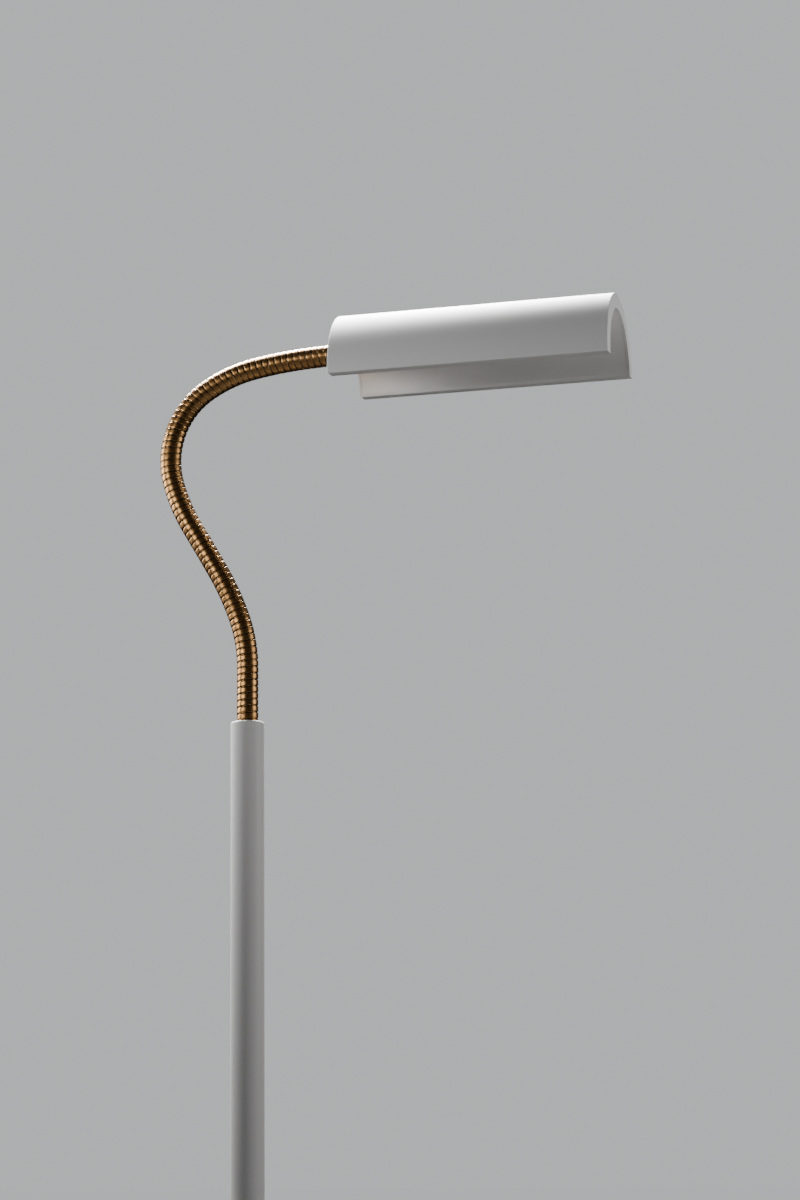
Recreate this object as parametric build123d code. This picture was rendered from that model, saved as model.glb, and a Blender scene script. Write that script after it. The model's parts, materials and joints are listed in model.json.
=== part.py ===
"""Floor lamp with a bendable neck: a weighted round base, a tube post, a wound metal neck and a
half-pipe shade with an LED bar under its crown.

Millimetres, +Z up. The origin is the centre of the base's underside, on the floor. The neck and the
head lie in the XZ plane, and the head points towards +X. Each sub-part is written to parts/NODE.step.
"""
import os
from math import cos, degrees, radians, sin, sqrt

from build123d import *

os.makedirs("parts", exist_ok=True)

# Base
base_diameter = 240.0
pad_thickness = 2.0
pad_margin = 7.0                # from the base's edge to the pad
plate_thickness = 2.0
weight_thickness = 20.0
skin = 2.0                      # wall of the base shell
base_edge_radius = 5.0
plate_screw_margin = 35.0       # from the base's edge to the screws
plate_screw_diameter = 4.0
plate_screw_length = 14.0
channel_height = 9.0            # for the wires, in the weight

# Foot switch
button_margin = 45.0            # from the base's edge, on the -X side
button_diameter = 22.0
button_rise = 3.0               # how far the button stands above the base
button_travel = 3.0
button_edge = 2.0
button_flange = 1.5             # keeps the button in, thick and wide
stem_diameter = 6.0
switch_diameter = 26.0
switch_height = 12.0
switch_floor = 1.0
switch_edge = 1.0
spring_wire = 0.8
spring_diameter = 16.0
spring_coils = 2.5

# Driver and cable inlet, in the base
driver_length = 78.0
driver_width = 34.0
driver_height = 13.0
driver_corner = 3.0
driver_margin = 14.0            # from the base's edge, on the +X side
wire_diameter = 4.4
wire_offset = 14.0              # mains wires run beside the nipple's nut
inlet_height = 13.0
inlet_diameter = 10.0
inlet_flange = 15.0
inlet_bore = 6.6
inlet_reach = 12.0              # from the base's edge inwards
inlet_flange_thickness = 3.0
inlet_edge = 1.2

# Nipple that clamps the post to the weight
nipple_diameter = 10.0
nipple_bore = 7.0
nut_flats = 17.0
nut_height = 6.0
nipple_proud = 0.8              # thread below the nut
nipple_stop = 2.0               # thread left free in the plug
washer_diameter = 24.0
washer_thickness = 2.0
well_margin = 6.0               # round the washer, for a socket key
well_depth = 14.0

# Post
post_top = 1030.0
post_diameter = 25.0
post_wall = 2.0
post_rim_radius = 1.8
plug_length = 30.0

# Neck
neck_diameter = 16.0
neck_bore = 8.0
link_length = 39.9
link_turns = (0.3, -19.7, -10.4, -1.3, 16.2, 35.6, 37.5, 21.3, 6.9, 3.3)   # degrees, towards +X
link_gap = 3.0                  # between the rims of two links
socket_wall = 1.2               # thinnest wall of a link round its ball
ball_clearance = 0.4
lead_diameter = 4.4
lead_bend = 5.06                # radius of its turn towards the driver
lead_gap = 1.6
neck_in_post = 24.0
neck_in_head = 18.0
ferrule_length = 32.0
ferrule_sink = 0.6              # below the post's rim
set_screw_diameter = 4.0
set_screw_drop = 12.8           # from the post's rim to the screw
set_screw_sink = 0.4

# Head
shade_radius = 53.0
shade_length = 209.2
shade_depth = 11.1              # outside to inside face
shade_skin = 2.0
liner_skin = 1.5
shade_corner = 3.0
shade_bevel = 0.6
neck_drop = 16.9                # neck axis below the crown's inner face
neck_entry = 8.0                # neck's end from the shade's end face
head_roll = 3.5
rail_width = 12.0
rail_clearance = 0.9            # between the rail and each skin
rail_length = 180.0
rail_start = 18.0
rail_corner = 2.0

# Swivel in the head
sleeve_wall = 1.5
sleeve_length = 23.0
sleeve_flange = 1.5             # step out from the sleeve
sleeve_flange_length = 2.0
swivel_clearance = 0.05
clip_step = 1.25                # step out from the sleeve
clip_thickness = 1.0
clip_groove = 0.5
saddle_wall = 3.0               # beside the sleeve
saddle_length = 17.5
saddle_floor = 2.5              # under the sleeve
saddle_corner = 4.0
tongue_length = 21.0
tongue_width = 16.0
tongue_height = 7.9             # from its underside to the crown
saddle_screw_shares = (0.45, 0.85)   # of the tongue's length
screw_diameter = 3.0
screw_head_diameter = 5.5
screw_head_height = 2.0

# Light bar in the head
bar_start = 56.0
bar_length = 138.0
bar_width = 26.0
bar_height = 11.9
board_width = 18.0
board_thickness = 1.6
board_margin = 3.0              # from the bar's end to the board
led_margin = 7.0
led_count = 12
led_size = (3.5, 2.8, 0.8)
lens_wall = 1.4
lens_drop = 10.0                # from the bar's underside to the lens's
lens_grip = 5.0                 # how far the lens's sides rise beside the bar
lip_rise = 2.3                  # from the bar's underside to the lip
lip_height = 1.4
lip_depth = 1.3
lens_edge = 3.0
bar_screw_shares = (0.1, 0.9)   # of the bar's length
bar_screw_sink = 3.0
cap_thickness = 2.0

# Clearances
fit = 0.05                      # press and thread fits, on the radius
close = 0.1                     # parts that just clear each other
slip = 0.3                      # loose parts
seat = 0.5                      # parts that stand off their neighbours
wire_room = 1.5                 # round a wire in the weight
room = 3.0                      # round the driver and the switch
past = 1.0                      # how far a cutter runs past a face
straight = 0.05                 # a link that turns less than this, in degrees, is straight

# Levels and radii that follow
weight_bottom = pad_thickness + plate_thickness
weight_top = weight_bottom + weight_thickness
base_top = weight_top + skin
shell_inner = base_diameter / 2 - skin
weight_radius = shell_inner - seat
well_radius = washer_diameter / 2 + well_margin
washer_level = weight_bottom + well_depth - washer_thickness
nut_level = washer_level - nut_height
post_inner = post_diameter / 2 - post_wall
button_offset = base_diameter / 2 - button_margin
plate_screw_circle = base_diameter - 2 * plate_screw_margin
driver_offset = base_diameter / 2 - driver_margin - driver_length / 2
neck_radius = neck_diameter / 2
ball_radius = neck_radius - socket_wall - ball_clearance
sleeve_radius = neck_radius + sleeve_wall
clip_radius = sleeve_radius + clip_step
saddle_half = sleeve_radius + saddle_wall
shade_inner = shade_radius - shade_depth
crown_fit = shade_inner - fit
neck_height = shade_inner - neck_drop
saddle_bottom = neck_height - sleeve_radius - saddle_floor
tongue_bottom = shade_inner - tongue_height
bar_bottom = shade_inner - bar_height
lens_bottom = bar_bottom - lens_drop
lens_top = bar_bottom + lens_grip
lip_bottom = bar_bottom + lip_rise
rail_height = shade_depth - shade_skin - liner_skin - 2 * rail_clearance
parts = {}


def tube(outer, inner, length, bottom=0.0):
    """A round tube on +Z, from its radii."""
    ring = Circle(outer) - Circle(inner)
    return Pos(0, 0, bottom) * extrude(ring, length)


def rod(radius, length, bottom=0.0):
    """A round bar on +Z."""
    return Pos(0, 0, bottom) * extrude(Circle(radius), length)


def block(x, y, z):
    """A box from the low and high values along each axis."""
    size = (x[1] - x[0], y[1] - y[0], z[1] - z[0])
    centre = ((x[0] + x[1]) / 2, (y[0] + y[1]) / 2, (z[0] + z[1]) / 2)
    return Pos(*centre) * Box(*size)


def rod_x(radius, start, end, y=0.0, z=0.0):
    """A round bar along +X."""
    return Pos(start, y, z) * Rot(0, 90, 0) * extrude(Circle(radius), end - start)


def group(shapes):
    """Separate solids kept in one node."""
    return Compound(children=[solid for shape in shapes for solid in shape.solids()])


def on_ring(shape, circle, count, start_angle=0.0):
    """Copies of a shape, evenly spaced on a circle."""
    places = PolarLocations(circle / 2, count, start_angle=start_angle)
    return [place * shape for place in places]


# ---------------------------------------------------------------- base
def make_base():
    button_place = Pos(-button_offset, 0, 0)

    shell = rod(base_diameter / 2, base_top - pad_thickness, pad_thickness)
    shell = fillet(shell.edges().group_by(Axis.Z)[-1], base_edge_radius)
    hollow = rod(shell_inner, weight_top - pad_thickness, pad_thickness)
    hollow = fillet(hollow.edges().group_by(Axis.Z)[-1], base_edge_radius - skin)
    shell -= hollow
    shell -= rod(post_diameter / 2 + slip, base_top * 2)
    shell -= button_place * rod(button_diameter / 2 + slip + close, base_top * 2)
    shell -= rod_x(inlet_diameter / 2 + close, -base_diameter, -shell_inner + past, z=inlet_height)
    parts["base_shell"] = shell

    shank = plate_screw_diameter / 2
    head = Pos(0, 0, pad_thickness + plate_thickness / 2) * Cone(shank * 2, shank, plate_thickness)
    screw = head + rod(shank, plate_screw_length, pad_thickness)
    sink = Pos(0, 0, pad_thickness + plate_thickness / 2) * Cone(shank * 2 + fit, shank + fit,
                                                                 plate_thickness)
    plate = rod(shell_inner - slip, plate_thickness, pad_thickness)
    for hole in on_ring(sink, plate_screw_circle, 4, 45):
        plate -= hole
    parts["base_bottom_plate"] = plate
    parts["plate_screws"] = group(on_ring(screw, plate_screw_circle, 4, 45))
    parts["base_pad"] = rod(base_diameter / 2 - pad_margin, pad_thickness)

    weight = rod(weight_radius, weight_thickness, weight_bottom)
    weight = chamfer(weight.edges().group_by(Axis.Z)[-1], base_edge_radius - skin)
    weight -= rod(nipple_diameter / 2 + slip, base_top * 2)
    weight -= rod(well_radius, well_depth, weight_bottom)
    pocket_ceiling = weight_bottom + driver_height + room
    driver_x = (driver_offset - driver_length / 2, driver_offset + driver_length / 2)
    weight -= block((driver_x[0] - room, driver_x[1] + room),
                    (-driver_width / 2 - room, driver_width / 2 + room), (weight_bottom, pocket_ceiling))
    channel = (weight_bottom, weight_bottom + channel_height)
    lead_channel = lead_diameter / 2 + wire_room
    weight -= block((0, driver_x[0]), (-lead_channel, lead_channel), channel)
    wire_half = wire_diameter / 2 + wire_room
    wire_channel = (wire_offset - wire_half, wire_offset + wire_half)
    weight -= block((-button_offset, driver_x[0]), wire_channel, channel)
    weight -= button_place * rod(switch_diameter / 2 + room, base_top * 2)
    inlet_channel = inlet_diameter / 2 + 2 * slip
    weight -= block((-base_diameter, -button_offset), (-inlet_channel, inlet_channel),
                    (weight_bottom, inlet_height + inlet_channel))
    thread = rod(shank + fit, plate_screw_length + past, pad_thickness)
    for hole in on_ring(thread, plate_screw_circle, 4, 45):
        weight -= hole
    parts["base_weight"] = weight

    inlet_start = -base_diameter / 2 - inlet_flange_thickness
    inlet_end = -base_diameter / 2 + inlet_reach
    gland = rod_x(inlet_flange / 2, inlet_start, -base_diameter / 2, z=inlet_height)
    gland = fillet(gland.edges().group_by(Axis.X)[0], inlet_edge)
    gland += rod_x(inlet_diameter / 2, inlet_start + past, inlet_end, z=inlet_height)
    gland -= rod_x(inlet_bore / 2, inlet_start - past, inlet_end + past, z=inlet_height)
    parts["cable_inlet_bush"] = gland

    driver = block(driver_x, (-driver_width / 2, driver_width / 2),
                   (weight_bottom + seat, weight_bottom + seat + driver_height))
    driver = fillet(driver.edges().filter_by(Axis.Z), driver_corner)
    parts["led_driver"] = driver


def make_foot_switch():
    place = Pos(-button_offset, 0, 0)
    switch_bottom = weight_bottom + seat
    switch_top = switch_bottom + switch_height
    flange_top = weight_top - close
    flange_bottom = flange_top - button_flange
    stem_bottom = switch_bottom + switch_floor + button_travel + past

    body = rod(switch_diameter / 2, switch_height, switch_bottom)
    body = fillet(body.edges().group_by(Axis.Z)[-1], switch_edge)
    body -= rod(stem_diameter / 2 + close, switch_height, switch_bottom + switch_floor)
    parts["foot_switch_body"] = place * body

    button = rod(button_diameter / 2, base_top + button_rise - flange_top, flange_top)
    button = fillet(button.edges().group_by(Axis.Z)[-1], button_edge)
    button += rod(button_diameter / 2 + button_flange, button_flange, flange_bottom)
    button += rod(stem_diameter / 2, flange_top - stem_bottom, stem_bottom)
    parts["foot_switch_button"] = place * button

    coil_bottom = switch_top + spring_wire / 2 + fit
    coil_top = flange_bottom - spring_wire / 2 - fit
    rise = coil_top - coil_bottom
    line = Helix(pitch=rise / spring_coils, height=rise, radius=spring_diameter / 2)
    section = Plane(origin=line @ 0, z_dir=line % 0) * Circle(spring_wire / 2)
    spring = sweep(section, path=line)
    parts["foot_switch_spring"] = place * Pos(0, 0, coil_bottom) * spring

    wire = wire_diameter / 2
    level = weight_bottom + wire + wire_room
    switch_back = -button_offset - switch_diameter / 2 - slip
    switch_side = sqrt((switch_diameter / 2) ** 2 - (wire_offset - wire) ** 2) + slip
    mains = rod_x(wire, -base_diameter / 2 + inlet_reach + slip, switch_back, z=inlet_height)
    inner = rod_x(wire, -button_offset + switch_side, driver_offset - driver_length / 2 - slip,
                  y=wire_offset, z=level)
    parts["base_wires"] = group([mains, inner])


# ---------------------------------------------------------------- post
def make_post():
    post = tube(post_diameter / 2, post_inner, post_top - weight_top, weight_top)
    rim = post.edges().filter_by(GeomType.CIRCLE).group_by(Axis.Z)[-1].sort_by(SortBy.RADIUS)[-1]
    post = fillet(rim, post_rim_radius)
    screw_level = post_top - set_screw_drop
    across = Pos(0, 0, screw_level) * Rot(-90, 0, 0)
    screw_hole = across * rod(set_screw_diameter / 2 + fit, post_diameter)
    post -= screw_hole
    parts["post_tube"] = post

    plug = tube(post_inner - fit, nipple_diameter / 2 + fit, plug_length, weight_top)
    parts["post_plug"] = plug

    nipple_bottom = nut_level - nipple_proud
    nipple_top = weight_top + plug_length - nipple_stop
    nipple = tube(nipple_diameter / 2, nipple_bore / 2, nipple_top - nipple_bottom, nipple_bottom)
    parts["threaded_nipple"] = nipple

    nut = extrude(RegularPolygon(nut_flats / 2, 6, major_radius=False), nut_height)
    nut -= rod(nipple_diameter / 2 + fit, nut_height * 3, -nut_height)
    parts["nipple_nut"] = Pos(0, 0, nut_level) * nut
    washer = tube(washer_diameter / 2, nipple_diameter / 2 + slip, washer_thickness, washer_level)
    parts["nipple_washer"] = washer

    ferrule_bottom = post_top - ferrule_length
    neck_bottom = post_top - neck_in_post
    ferrule = rod(post_inner - fit, ferrule_length - ferrule_sink, ferrule_bottom)
    ferrule -= rod(neck_radius + fit, neck_in_post + past, neck_bottom)
    ferrule -= rod(neck_bore / 2, ferrule_length, ferrule_bottom - past)
    ferrule -= screw_hole
    parts["neck_lower_ferrule"] = ferrule

    tip = neck_radius + fit + close
    screw = across * rod(set_screw_diameter / 2, post_diameter / 2 - set_screw_sink - tip, tip)
    parts["ferrule_set_screw"] = screw

    radius = lead_diameter / 2
    low = weight_bottom + radius + slip
    driver_end = driver_offset - driver_length / 2 - slip
    turn_level = low + lead_bend
    lead = rod(radius, neck_bottom - seat - turn_level, turn_level)
    lead += revolve(Pos(0, 0, turn_level) * Circle(radius), Axis((lead_bend, 0, turn_level), (0, -1, 0)), 90)
    lead += rod_x(radius, lead_bend, driver_end, z=low)
    parts["post_lead"] = lead


# ---------------------------------------------------------------- neck
def neck_stations():
    """Where each link starts, and where the last one ends: x, z and heading from +Z to +X."""
    x, z, heading = 0.0, post_top, 0.0
    stations = [(x, z, heading)]
    for turn in link_turns:
        x, z, heading = along(x, z, heading, turn, link_length)
        stations.append((x, z, heading))
    return stations


def along(x, z, heading, turn, length):
    """The place and heading after `length` of a link that turns `turn` degrees in its full length."""
    bend = turn * length / link_length
    if abs(bend) < 1e-9:
        return (x + length * sin(radians(heading)), z + length * cos(radians(heading)), heading)
    radius = length / radians(bend)
    new_heading = heading + bend
    new_x = x + radius * (cos(radians(heading)) - cos(radians(new_heading)))
    new_z = z - radius * (sin(radians(heading)) - sin(radians(new_heading)))
    return (new_x, new_z, new_heading)


def station_plane(station):
    """A plane across the neck: z along it, y sideways."""
    x, z, heading = station
    side = (cos(radians(heading)), 0, -sin(radians(heading)))
    forward = (sin(radians(heading)), 0, cos(radians(heading)))
    return Plane(origin=(x, 0, z), x_dir=side, z_dir=forward)


def bent_rod(radius, station, turn, start, end):
    """A round bar along a link's arc, from `start` to `end` along it."""
    first = along(*station, turn, start)
    across = station_plane(first)
    section = across * Circle(radius)
    if abs(turn) < straight:
        return extrude(section, end - start)
    curve = link_length / radians(turn)
    centre = across.origin + across.x_dir * curve
    spin = (0, 1, 0) if turn > 0 else (0, -1, 0)
    return revolve(section, Axis(centre, spin), abs(turn) * (end - start) / link_length)


def make_neck():
    stations = neck_stations()
    last = len(link_turns)
    for number in range(1, last + 1):
        turn = link_turns[number - 1]
        start_plane = station_plane(stations[number - 1])
        end_plane = station_plane(stations[number])
        body_start = 0.0 if number == 1 else link_gap / 2
        body_end = link_length if number == last else link_length - link_gap / 2
        link = bent_rod(neck_radius, stations[number - 1], turn, body_start, body_end)
        bore = bent_rod(neck_bore / 2, stations[number - 1], turn, 0.0, link_length)
        lead_start = 0.0 if number == 1 else lead_gap / 2
        lead_end = link_length if number == last else link_length - lead_gap / 2
        lead = bent_rod(lead_diameter / 2, stations[number - 1], turn, lead_start, lead_end)
        if number == 1:
            link += start_plane * rod(neck_radius, neck_in_post, -neck_in_post)
            bore += start_plane * rod(neck_bore / 2, neck_in_post + past, -neck_in_post - past)
            lead += start_plane * rod(lead_diameter / 2, neck_in_post, -neck_in_post)
        else:
            link -= start_plane * Sphere(ball_radius + ball_clearance)
        if number == last:
            link += end_plane * rod(neck_radius, neck_in_head)
            bore += end_plane * rod(neck_bore / 2, neck_in_head + past)
            lead += end_plane * rod(lead_diameter / 2, neck_in_head)
        else:
            link += end_plane * Sphere(ball_radius)
            bore += end_plane * rod(neck_bore / 2, ball_radius + past)
        parts[f"neck_link_{number:02d}"] = link - bore
        parts[f"neck_lead_{number:02d}"] = lead


# ---------------------------------------------------------------- head
def head_place():
    """The head's own frame: x along the shade from its neck end, z up from its open side."""
    x, z, heading = neck_stations()[-1]
    swivel = station_plane((x, z, heading))
    upright = Plane(origin=swivel.origin, x_dir=swivel.z_dir, z_dir=-swivel.x_dir)
    return upright.location * Rot(head_roll, 0, 0) * Pos(-neck_entry, 0, -neck_height)


def half_round(radius, start, end):
    """The upper half of a round bar along x."""
    whole = rod_x(radius, start, end)
    return whole & block((start, end), (-radius, radius), (0, radius))


def crown_bar(width, bottom, start, end):
    """A bar whose top follows the inside of the shade."""
    bar = block((start, end), (-width / 2, width / 2), (bottom, shade_inner))
    return bar & rod_x(crown_fit, start, end)


def screws(places, bottom, length):
    """Screws that point up, with their heads below."""
    shape = rod(screw_head_diameter / 2, screw_head_height, -screw_head_height)
    shape += rod(screw_diameter / 2, length)
    return [Pos(x, 0, bottom) * shape for x in places]


def holes(places, radius):
    """Upright holes on the head's middle line."""
    return [Pos(x, 0, 0) * rod(radius, shade_radius) for x in places]


def make_head():
    place = head_place()
    cavity = shade_radius - shade_skin
    liner_outer = shade_inner + liner_skin

    shade = half_round(shade_radius, 0, shade_length) - rod_x(shade_inner, -past, shade_length + past)
    hollow = half_round(cavity, shade_skin, shade_length - shade_skin)
    hollow -= block((0, shade_length), (-cavity, cavity), (0, shade_skin))
    near_corners = shade.edges().filter_by(Axis.Y).group_by(Axis.X)[0]
    shade = fillet(near_corners, shade_corner)
    outline = [edge for edge in shade.edges() if on_outside(edge)]
    shade = chamfer(outline, shade_bevel) - hollow
    parts["shade_outer_shell"] = place * shade

    liner_edge = shade_skin + close
    liner = half_round(liner_outer, liner_edge, shade_length - liner_edge)
    liner -= rod_x(shade_inner, 0, shade_length)
    liner -= block((0, shade_length), (-shade_radius, shade_radius), (-past, liner_edge))
    saddle_x = (neck_entry + sleeve_flange_length + slip,
                neck_entry + sleeve_flange_length + slip + saddle_length)
    tongue_end = saddle_x[1] + tongue_length
    saddle_screws = [saddle_x[1] + tongue_length * share for share in saddle_screw_shares]
    bar_end = bar_start + bar_length
    bar_screws = [bar_start + bar_length * share for share in bar_screw_shares]
    for hole in holes(saddle_screws + bar_screws, screw_diameter / 2 + slip):
        liner -= hole
    parts["shade_liner"] = place * liner

    rail_bottom = liner_outer + rail_clearance / 2
    rail_top = rail_bottom + rail_height
    rail = block((rail_start, rail_start + rail_length), (-rail_width / 2, rail_width / 2),
                 (rail_bottom, rail_top))
    rail = fillet(rail.edges().filter_by(Axis.Z), rail_corner)
    for hole in holes(saddle_screws + bar_screws, screw_diameter / 2 + fit):
        rail -= hole
    parts["crown_rail"] = place * rail

    saddle = crown_bar(saddle_half * 2, saddle_bottom, *saddle_x)
    saddle = fillet(saddle.edges().filter_by(Axis.X).group_by(Axis.Z)[0], saddle_corner)
    saddle += crown_bar(tongue_width, tongue_bottom, saddle_x[1] - past, tongue_end)
    saddle -= rod_x(sleeve_radius + swivel_clearance, 0, saddle_x[1], z=neck_height)
    sleeve_end = neck_entry + sleeve_length
    saddle -= rod_x(clip_radius + slip, saddle_x[1], sleeve_end + slip, z=neck_height)
    grub_place = Pos((saddle_x[0] + saddle_x[1]) / 2, 0, 0)
    saddle -= grub_place * rod(set_screw_diameter / 2 + fit, neck_height)
    for hole in holes(saddle_screws, screw_diameter / 2 + slip):
        saddle -= hole
    parts["neck_saddle"] = place * saddle
    grub_top = neck_height - sleeve_radius - close
    grub = rod(set_screw_diameter / 2, grub_top - saddle_bottom - slip, saddle_bottom + slip)
    parts["swivel_grub_screw"] = place * grub_place * grub
    bolts = screws(saddle_screws, tongue_bottom, rail_top - tongue_bottom - past)
    parts["saddle_screws"] = group([place * bolt for bolt in bolts])

    flange_end = neck_entry + sleeve_flange_length
    sleeve = rod_x(sleeve_radius + sleeve_flange, neck_entry, flange_end, z=neck_height)
    sleeve += rod_x(sleeve_radius, flange_end - past, sleeve_end, z=neck_height)
    sleeve -= rod_x(neck_radius + fit, 0, neck_entry + neck_in_head + close, z=neck_height)
    sleeve -= rod_x(neck_bore / 2, 0, sleeve_end + past, z=neck_height)
    clip_start = saddle_x[1] + slip
    groove = rod_x(clip_radius * 2, clip_start, clip_start + clip_thickness, z=neck_height)
    groove -= rod_x(sleeve_radius - clip_groove, clip_start, clip_start + clip_thickness, z=neck_height)
    parts["neck_upper_ferrule"] = place * (sleeve - groove)
    clip = rod_x(clip_radius, clip_start, clip_start + clip_thickness, z=neck_height)
    clip -= rod_x(sleeve_radius - clip_groove, 0, shade_length, z=neck_height)
    parts["swivel_clip"] = place * clip

    lead = rod_x(lead_diameter / 2, neck_entry + neck_in_head + seat, bar_start + cap_thickness,
                 z=neck_height)
    parts["head_lead"] = place * lead
    make_light_bar(place, bar_end, bar_screws, rail_top)


def on_outside(edge):
    """Whether an edge of the plain half-pipe lies on its outer surface."""
    ends = [edge @ 0, edge @ 0.5, edge @ 1]
    return all(abs(sqrt(end.Y ** 2 + end.Z ** 2) - shade_radius) < 1e-3 for end in ends)


def make_light_bar(place, bar_end, bar_screws, rail_top):
    half = bar_width / 2
    bar = crown_bar(bar_width, bar_bottom, bar_start, bar_end)
    for side in (-1, 1):
        groove = sorted((side * (half - lip_depth - close), side * (half + past)))
        bar -= block((bar_start, bar_end), groove, (lip_bottom - close, lip_bottom + lip_height + close))
    sink_head = bar_bottom + bar_screw_sink
    for x in bar_screws:
        bar -= Pos(x, 0, 0) * rod(screw_diameter / 2 + slip, shade_radius)
        bar -= Pos(x, 0, 0) * rod(screw_head_diameter / 2 + slip, sink_head)
    parts["heat_sink"] = place * bar
    bolts = screws(bar_screws, sink_head, rail_top - sink_head - past)
    parts["heat_sink_screws"] = group([place * bolt for bolt in bolts])

    board_bottom = bar_bottom - board_thickness
    board = block((bar_start + board_margin, bar_end - board_margin),
                  (-board_width / 2, board_width / 2), (board_bottom, bar_bottom))
    parts["led_board"] = place * board
    pitch = (bar_length - 2 * led_margin) / led_count
    chips = []
    for number in range(led_count):
        x = bar_start + led_margin + pitch * (number + 0.5)
        chips.append(place * Pos(x, 0, board_bottom - led_size[2] / 2) * Box(*led_size))
    parts["led_chips"] = group(chips)

    inside = half + close
    outside = inside + lens_wall
    lens = block((bar_start, bar_end), (-outside, outside), (lens_bottom, lens_top))
    lens = fillet(lens.edges().filter_by(Axis.X).group_by(Axis.Z)[0], lens_edge)
    inner = block((bar_start, bar_end), (-inside, inside), (lens_bottom + lens_wall, lens_top))
    inner = fillet(inner.edges().filter_by(Axis.X).group_by(Axis.Z)[0], lens_edge - lens_wall)
    lens -= inner
    for side in (-1, 1):
        lip = sorted((side * (half - lip_depth), side * (inside + close)))
        lens += block((bar_start, bar_end), lip, (lip_bottom, lip_bottom + lip_height))
    parts["lens_cover"] = place * lens

    for name, start in (("bar_cap_inner", bar_start - cap_thickness), ("bar_cap_outer", bar_end)):
        cap = crown_bar(outside * 2, lens_bottom, start, start + cap_thickness)
        cap = fillet(cap.edges().filter_by(Axis.X).group_by(Axis.Z)[0], lens_edge)
        if name == "bar_cap_inner":
            cap -= rod_x(lead_diameter / 2 + slip, 0, bar_end, z=neck_height)
        parts[name] = place * cap


make_base()
make_foot_switch()
make_post()
make_neck()
make_head()
for node, shape in parts.items():
    export_step(shape, f"parts/{node}.step")
for number, station in enumerate(neck_stations()):
    print("station", number, [round(value, 3) for value in station])
print("links bend to a radius of", round(link_length / radians(max(link_turns)), 1))
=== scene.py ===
"""Looks of an adjustable floor lamp: painted post and shade, a wound brass neck, a weighted base.

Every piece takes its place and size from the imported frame, in metres, with +Z up and the shade
pointing towards +X. Each class below holds one sub-assembly and makes its pieces.
"""
import json
import logging
import math
from dataclasses import dataclass, field
from enum import Enum
from typing import Callable, Iterable, Sequence

import bmesh
import bpy
from mathutils import Matrix, Vector


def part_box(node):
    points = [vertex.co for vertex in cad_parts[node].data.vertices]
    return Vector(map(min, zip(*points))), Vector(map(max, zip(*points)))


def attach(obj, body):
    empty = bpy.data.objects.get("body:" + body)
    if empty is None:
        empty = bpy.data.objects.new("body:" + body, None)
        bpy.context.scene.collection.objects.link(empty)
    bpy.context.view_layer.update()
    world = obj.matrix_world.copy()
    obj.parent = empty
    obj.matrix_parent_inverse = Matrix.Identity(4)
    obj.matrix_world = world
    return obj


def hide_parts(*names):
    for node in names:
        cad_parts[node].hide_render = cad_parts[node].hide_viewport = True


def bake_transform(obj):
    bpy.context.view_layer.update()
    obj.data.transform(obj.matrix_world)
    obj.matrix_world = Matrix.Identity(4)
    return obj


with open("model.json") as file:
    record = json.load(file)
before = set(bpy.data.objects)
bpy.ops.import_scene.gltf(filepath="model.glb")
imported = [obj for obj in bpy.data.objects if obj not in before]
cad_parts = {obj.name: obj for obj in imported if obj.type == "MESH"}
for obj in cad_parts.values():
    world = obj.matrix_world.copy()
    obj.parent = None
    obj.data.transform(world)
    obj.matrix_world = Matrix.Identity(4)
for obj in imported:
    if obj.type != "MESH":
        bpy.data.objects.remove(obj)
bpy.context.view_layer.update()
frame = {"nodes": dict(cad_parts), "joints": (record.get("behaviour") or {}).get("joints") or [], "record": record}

MM = 0.001
FULL_TURN = 2 * math.pi
WELD = 1e-7                     # points closer than this are one, in metres
NEAR = 1e-6                     # what counts as zero, in metres or radians
ON_FACE = 1e-5                  # how near a point lies to the face it belongs to
LEVEL_SLACK = 0.05 * MM         # how near a point lies to a level
BUTTON_SIDE = 2.0 * MM          # how far below its top the foot button's side is measured
WORN_TURN = math.radians(40)    # an edge that turns this much wears fully
CUTTER_SIDES = 64               # of a round cutter
WIRE_SIDES = 8                  # of a wire's section

logging.basicConfig(level=logging.INFO, format="%(levelname)s %(name)s: %(message)s")
log = logging.getLogger("lamp")

Point = tuple[float, float]


# ------------------------------------------------------------------ places taken from the frame
def joint_place(name: str) -> Vector:
    """Finds where a joint sits at rest.

    Args:
        name: The joint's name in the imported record.

    Returns:
        The joint's point, in metres.
    """
    return Vector(next(joint for joint in frame["joints"] if joint["name"] == name)["pos_m"])


def joint_axis(name: str) -> Vector:
    """Finds the direction of a joint's axis.

    Args:
        name: The joint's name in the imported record.

    Returns:
        A unit vector along the axis.
    """
    return Vector(next(joint for joint in frame["joints"] if joint["name"] == name)["axis"]).normalized()


def extent(points: Sequence[Vector]) -> tuple[Vector, Vector]:
    """Finds the lowest and highest corner of some points.

    Args:
        points: The points.

    Returns:
        The two corners.
    """
    return (Vector([min(point[i] for point in points) for i in range(3)]),
            Vector([max(point[i] for point in points) for i in range(3)]))


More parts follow.
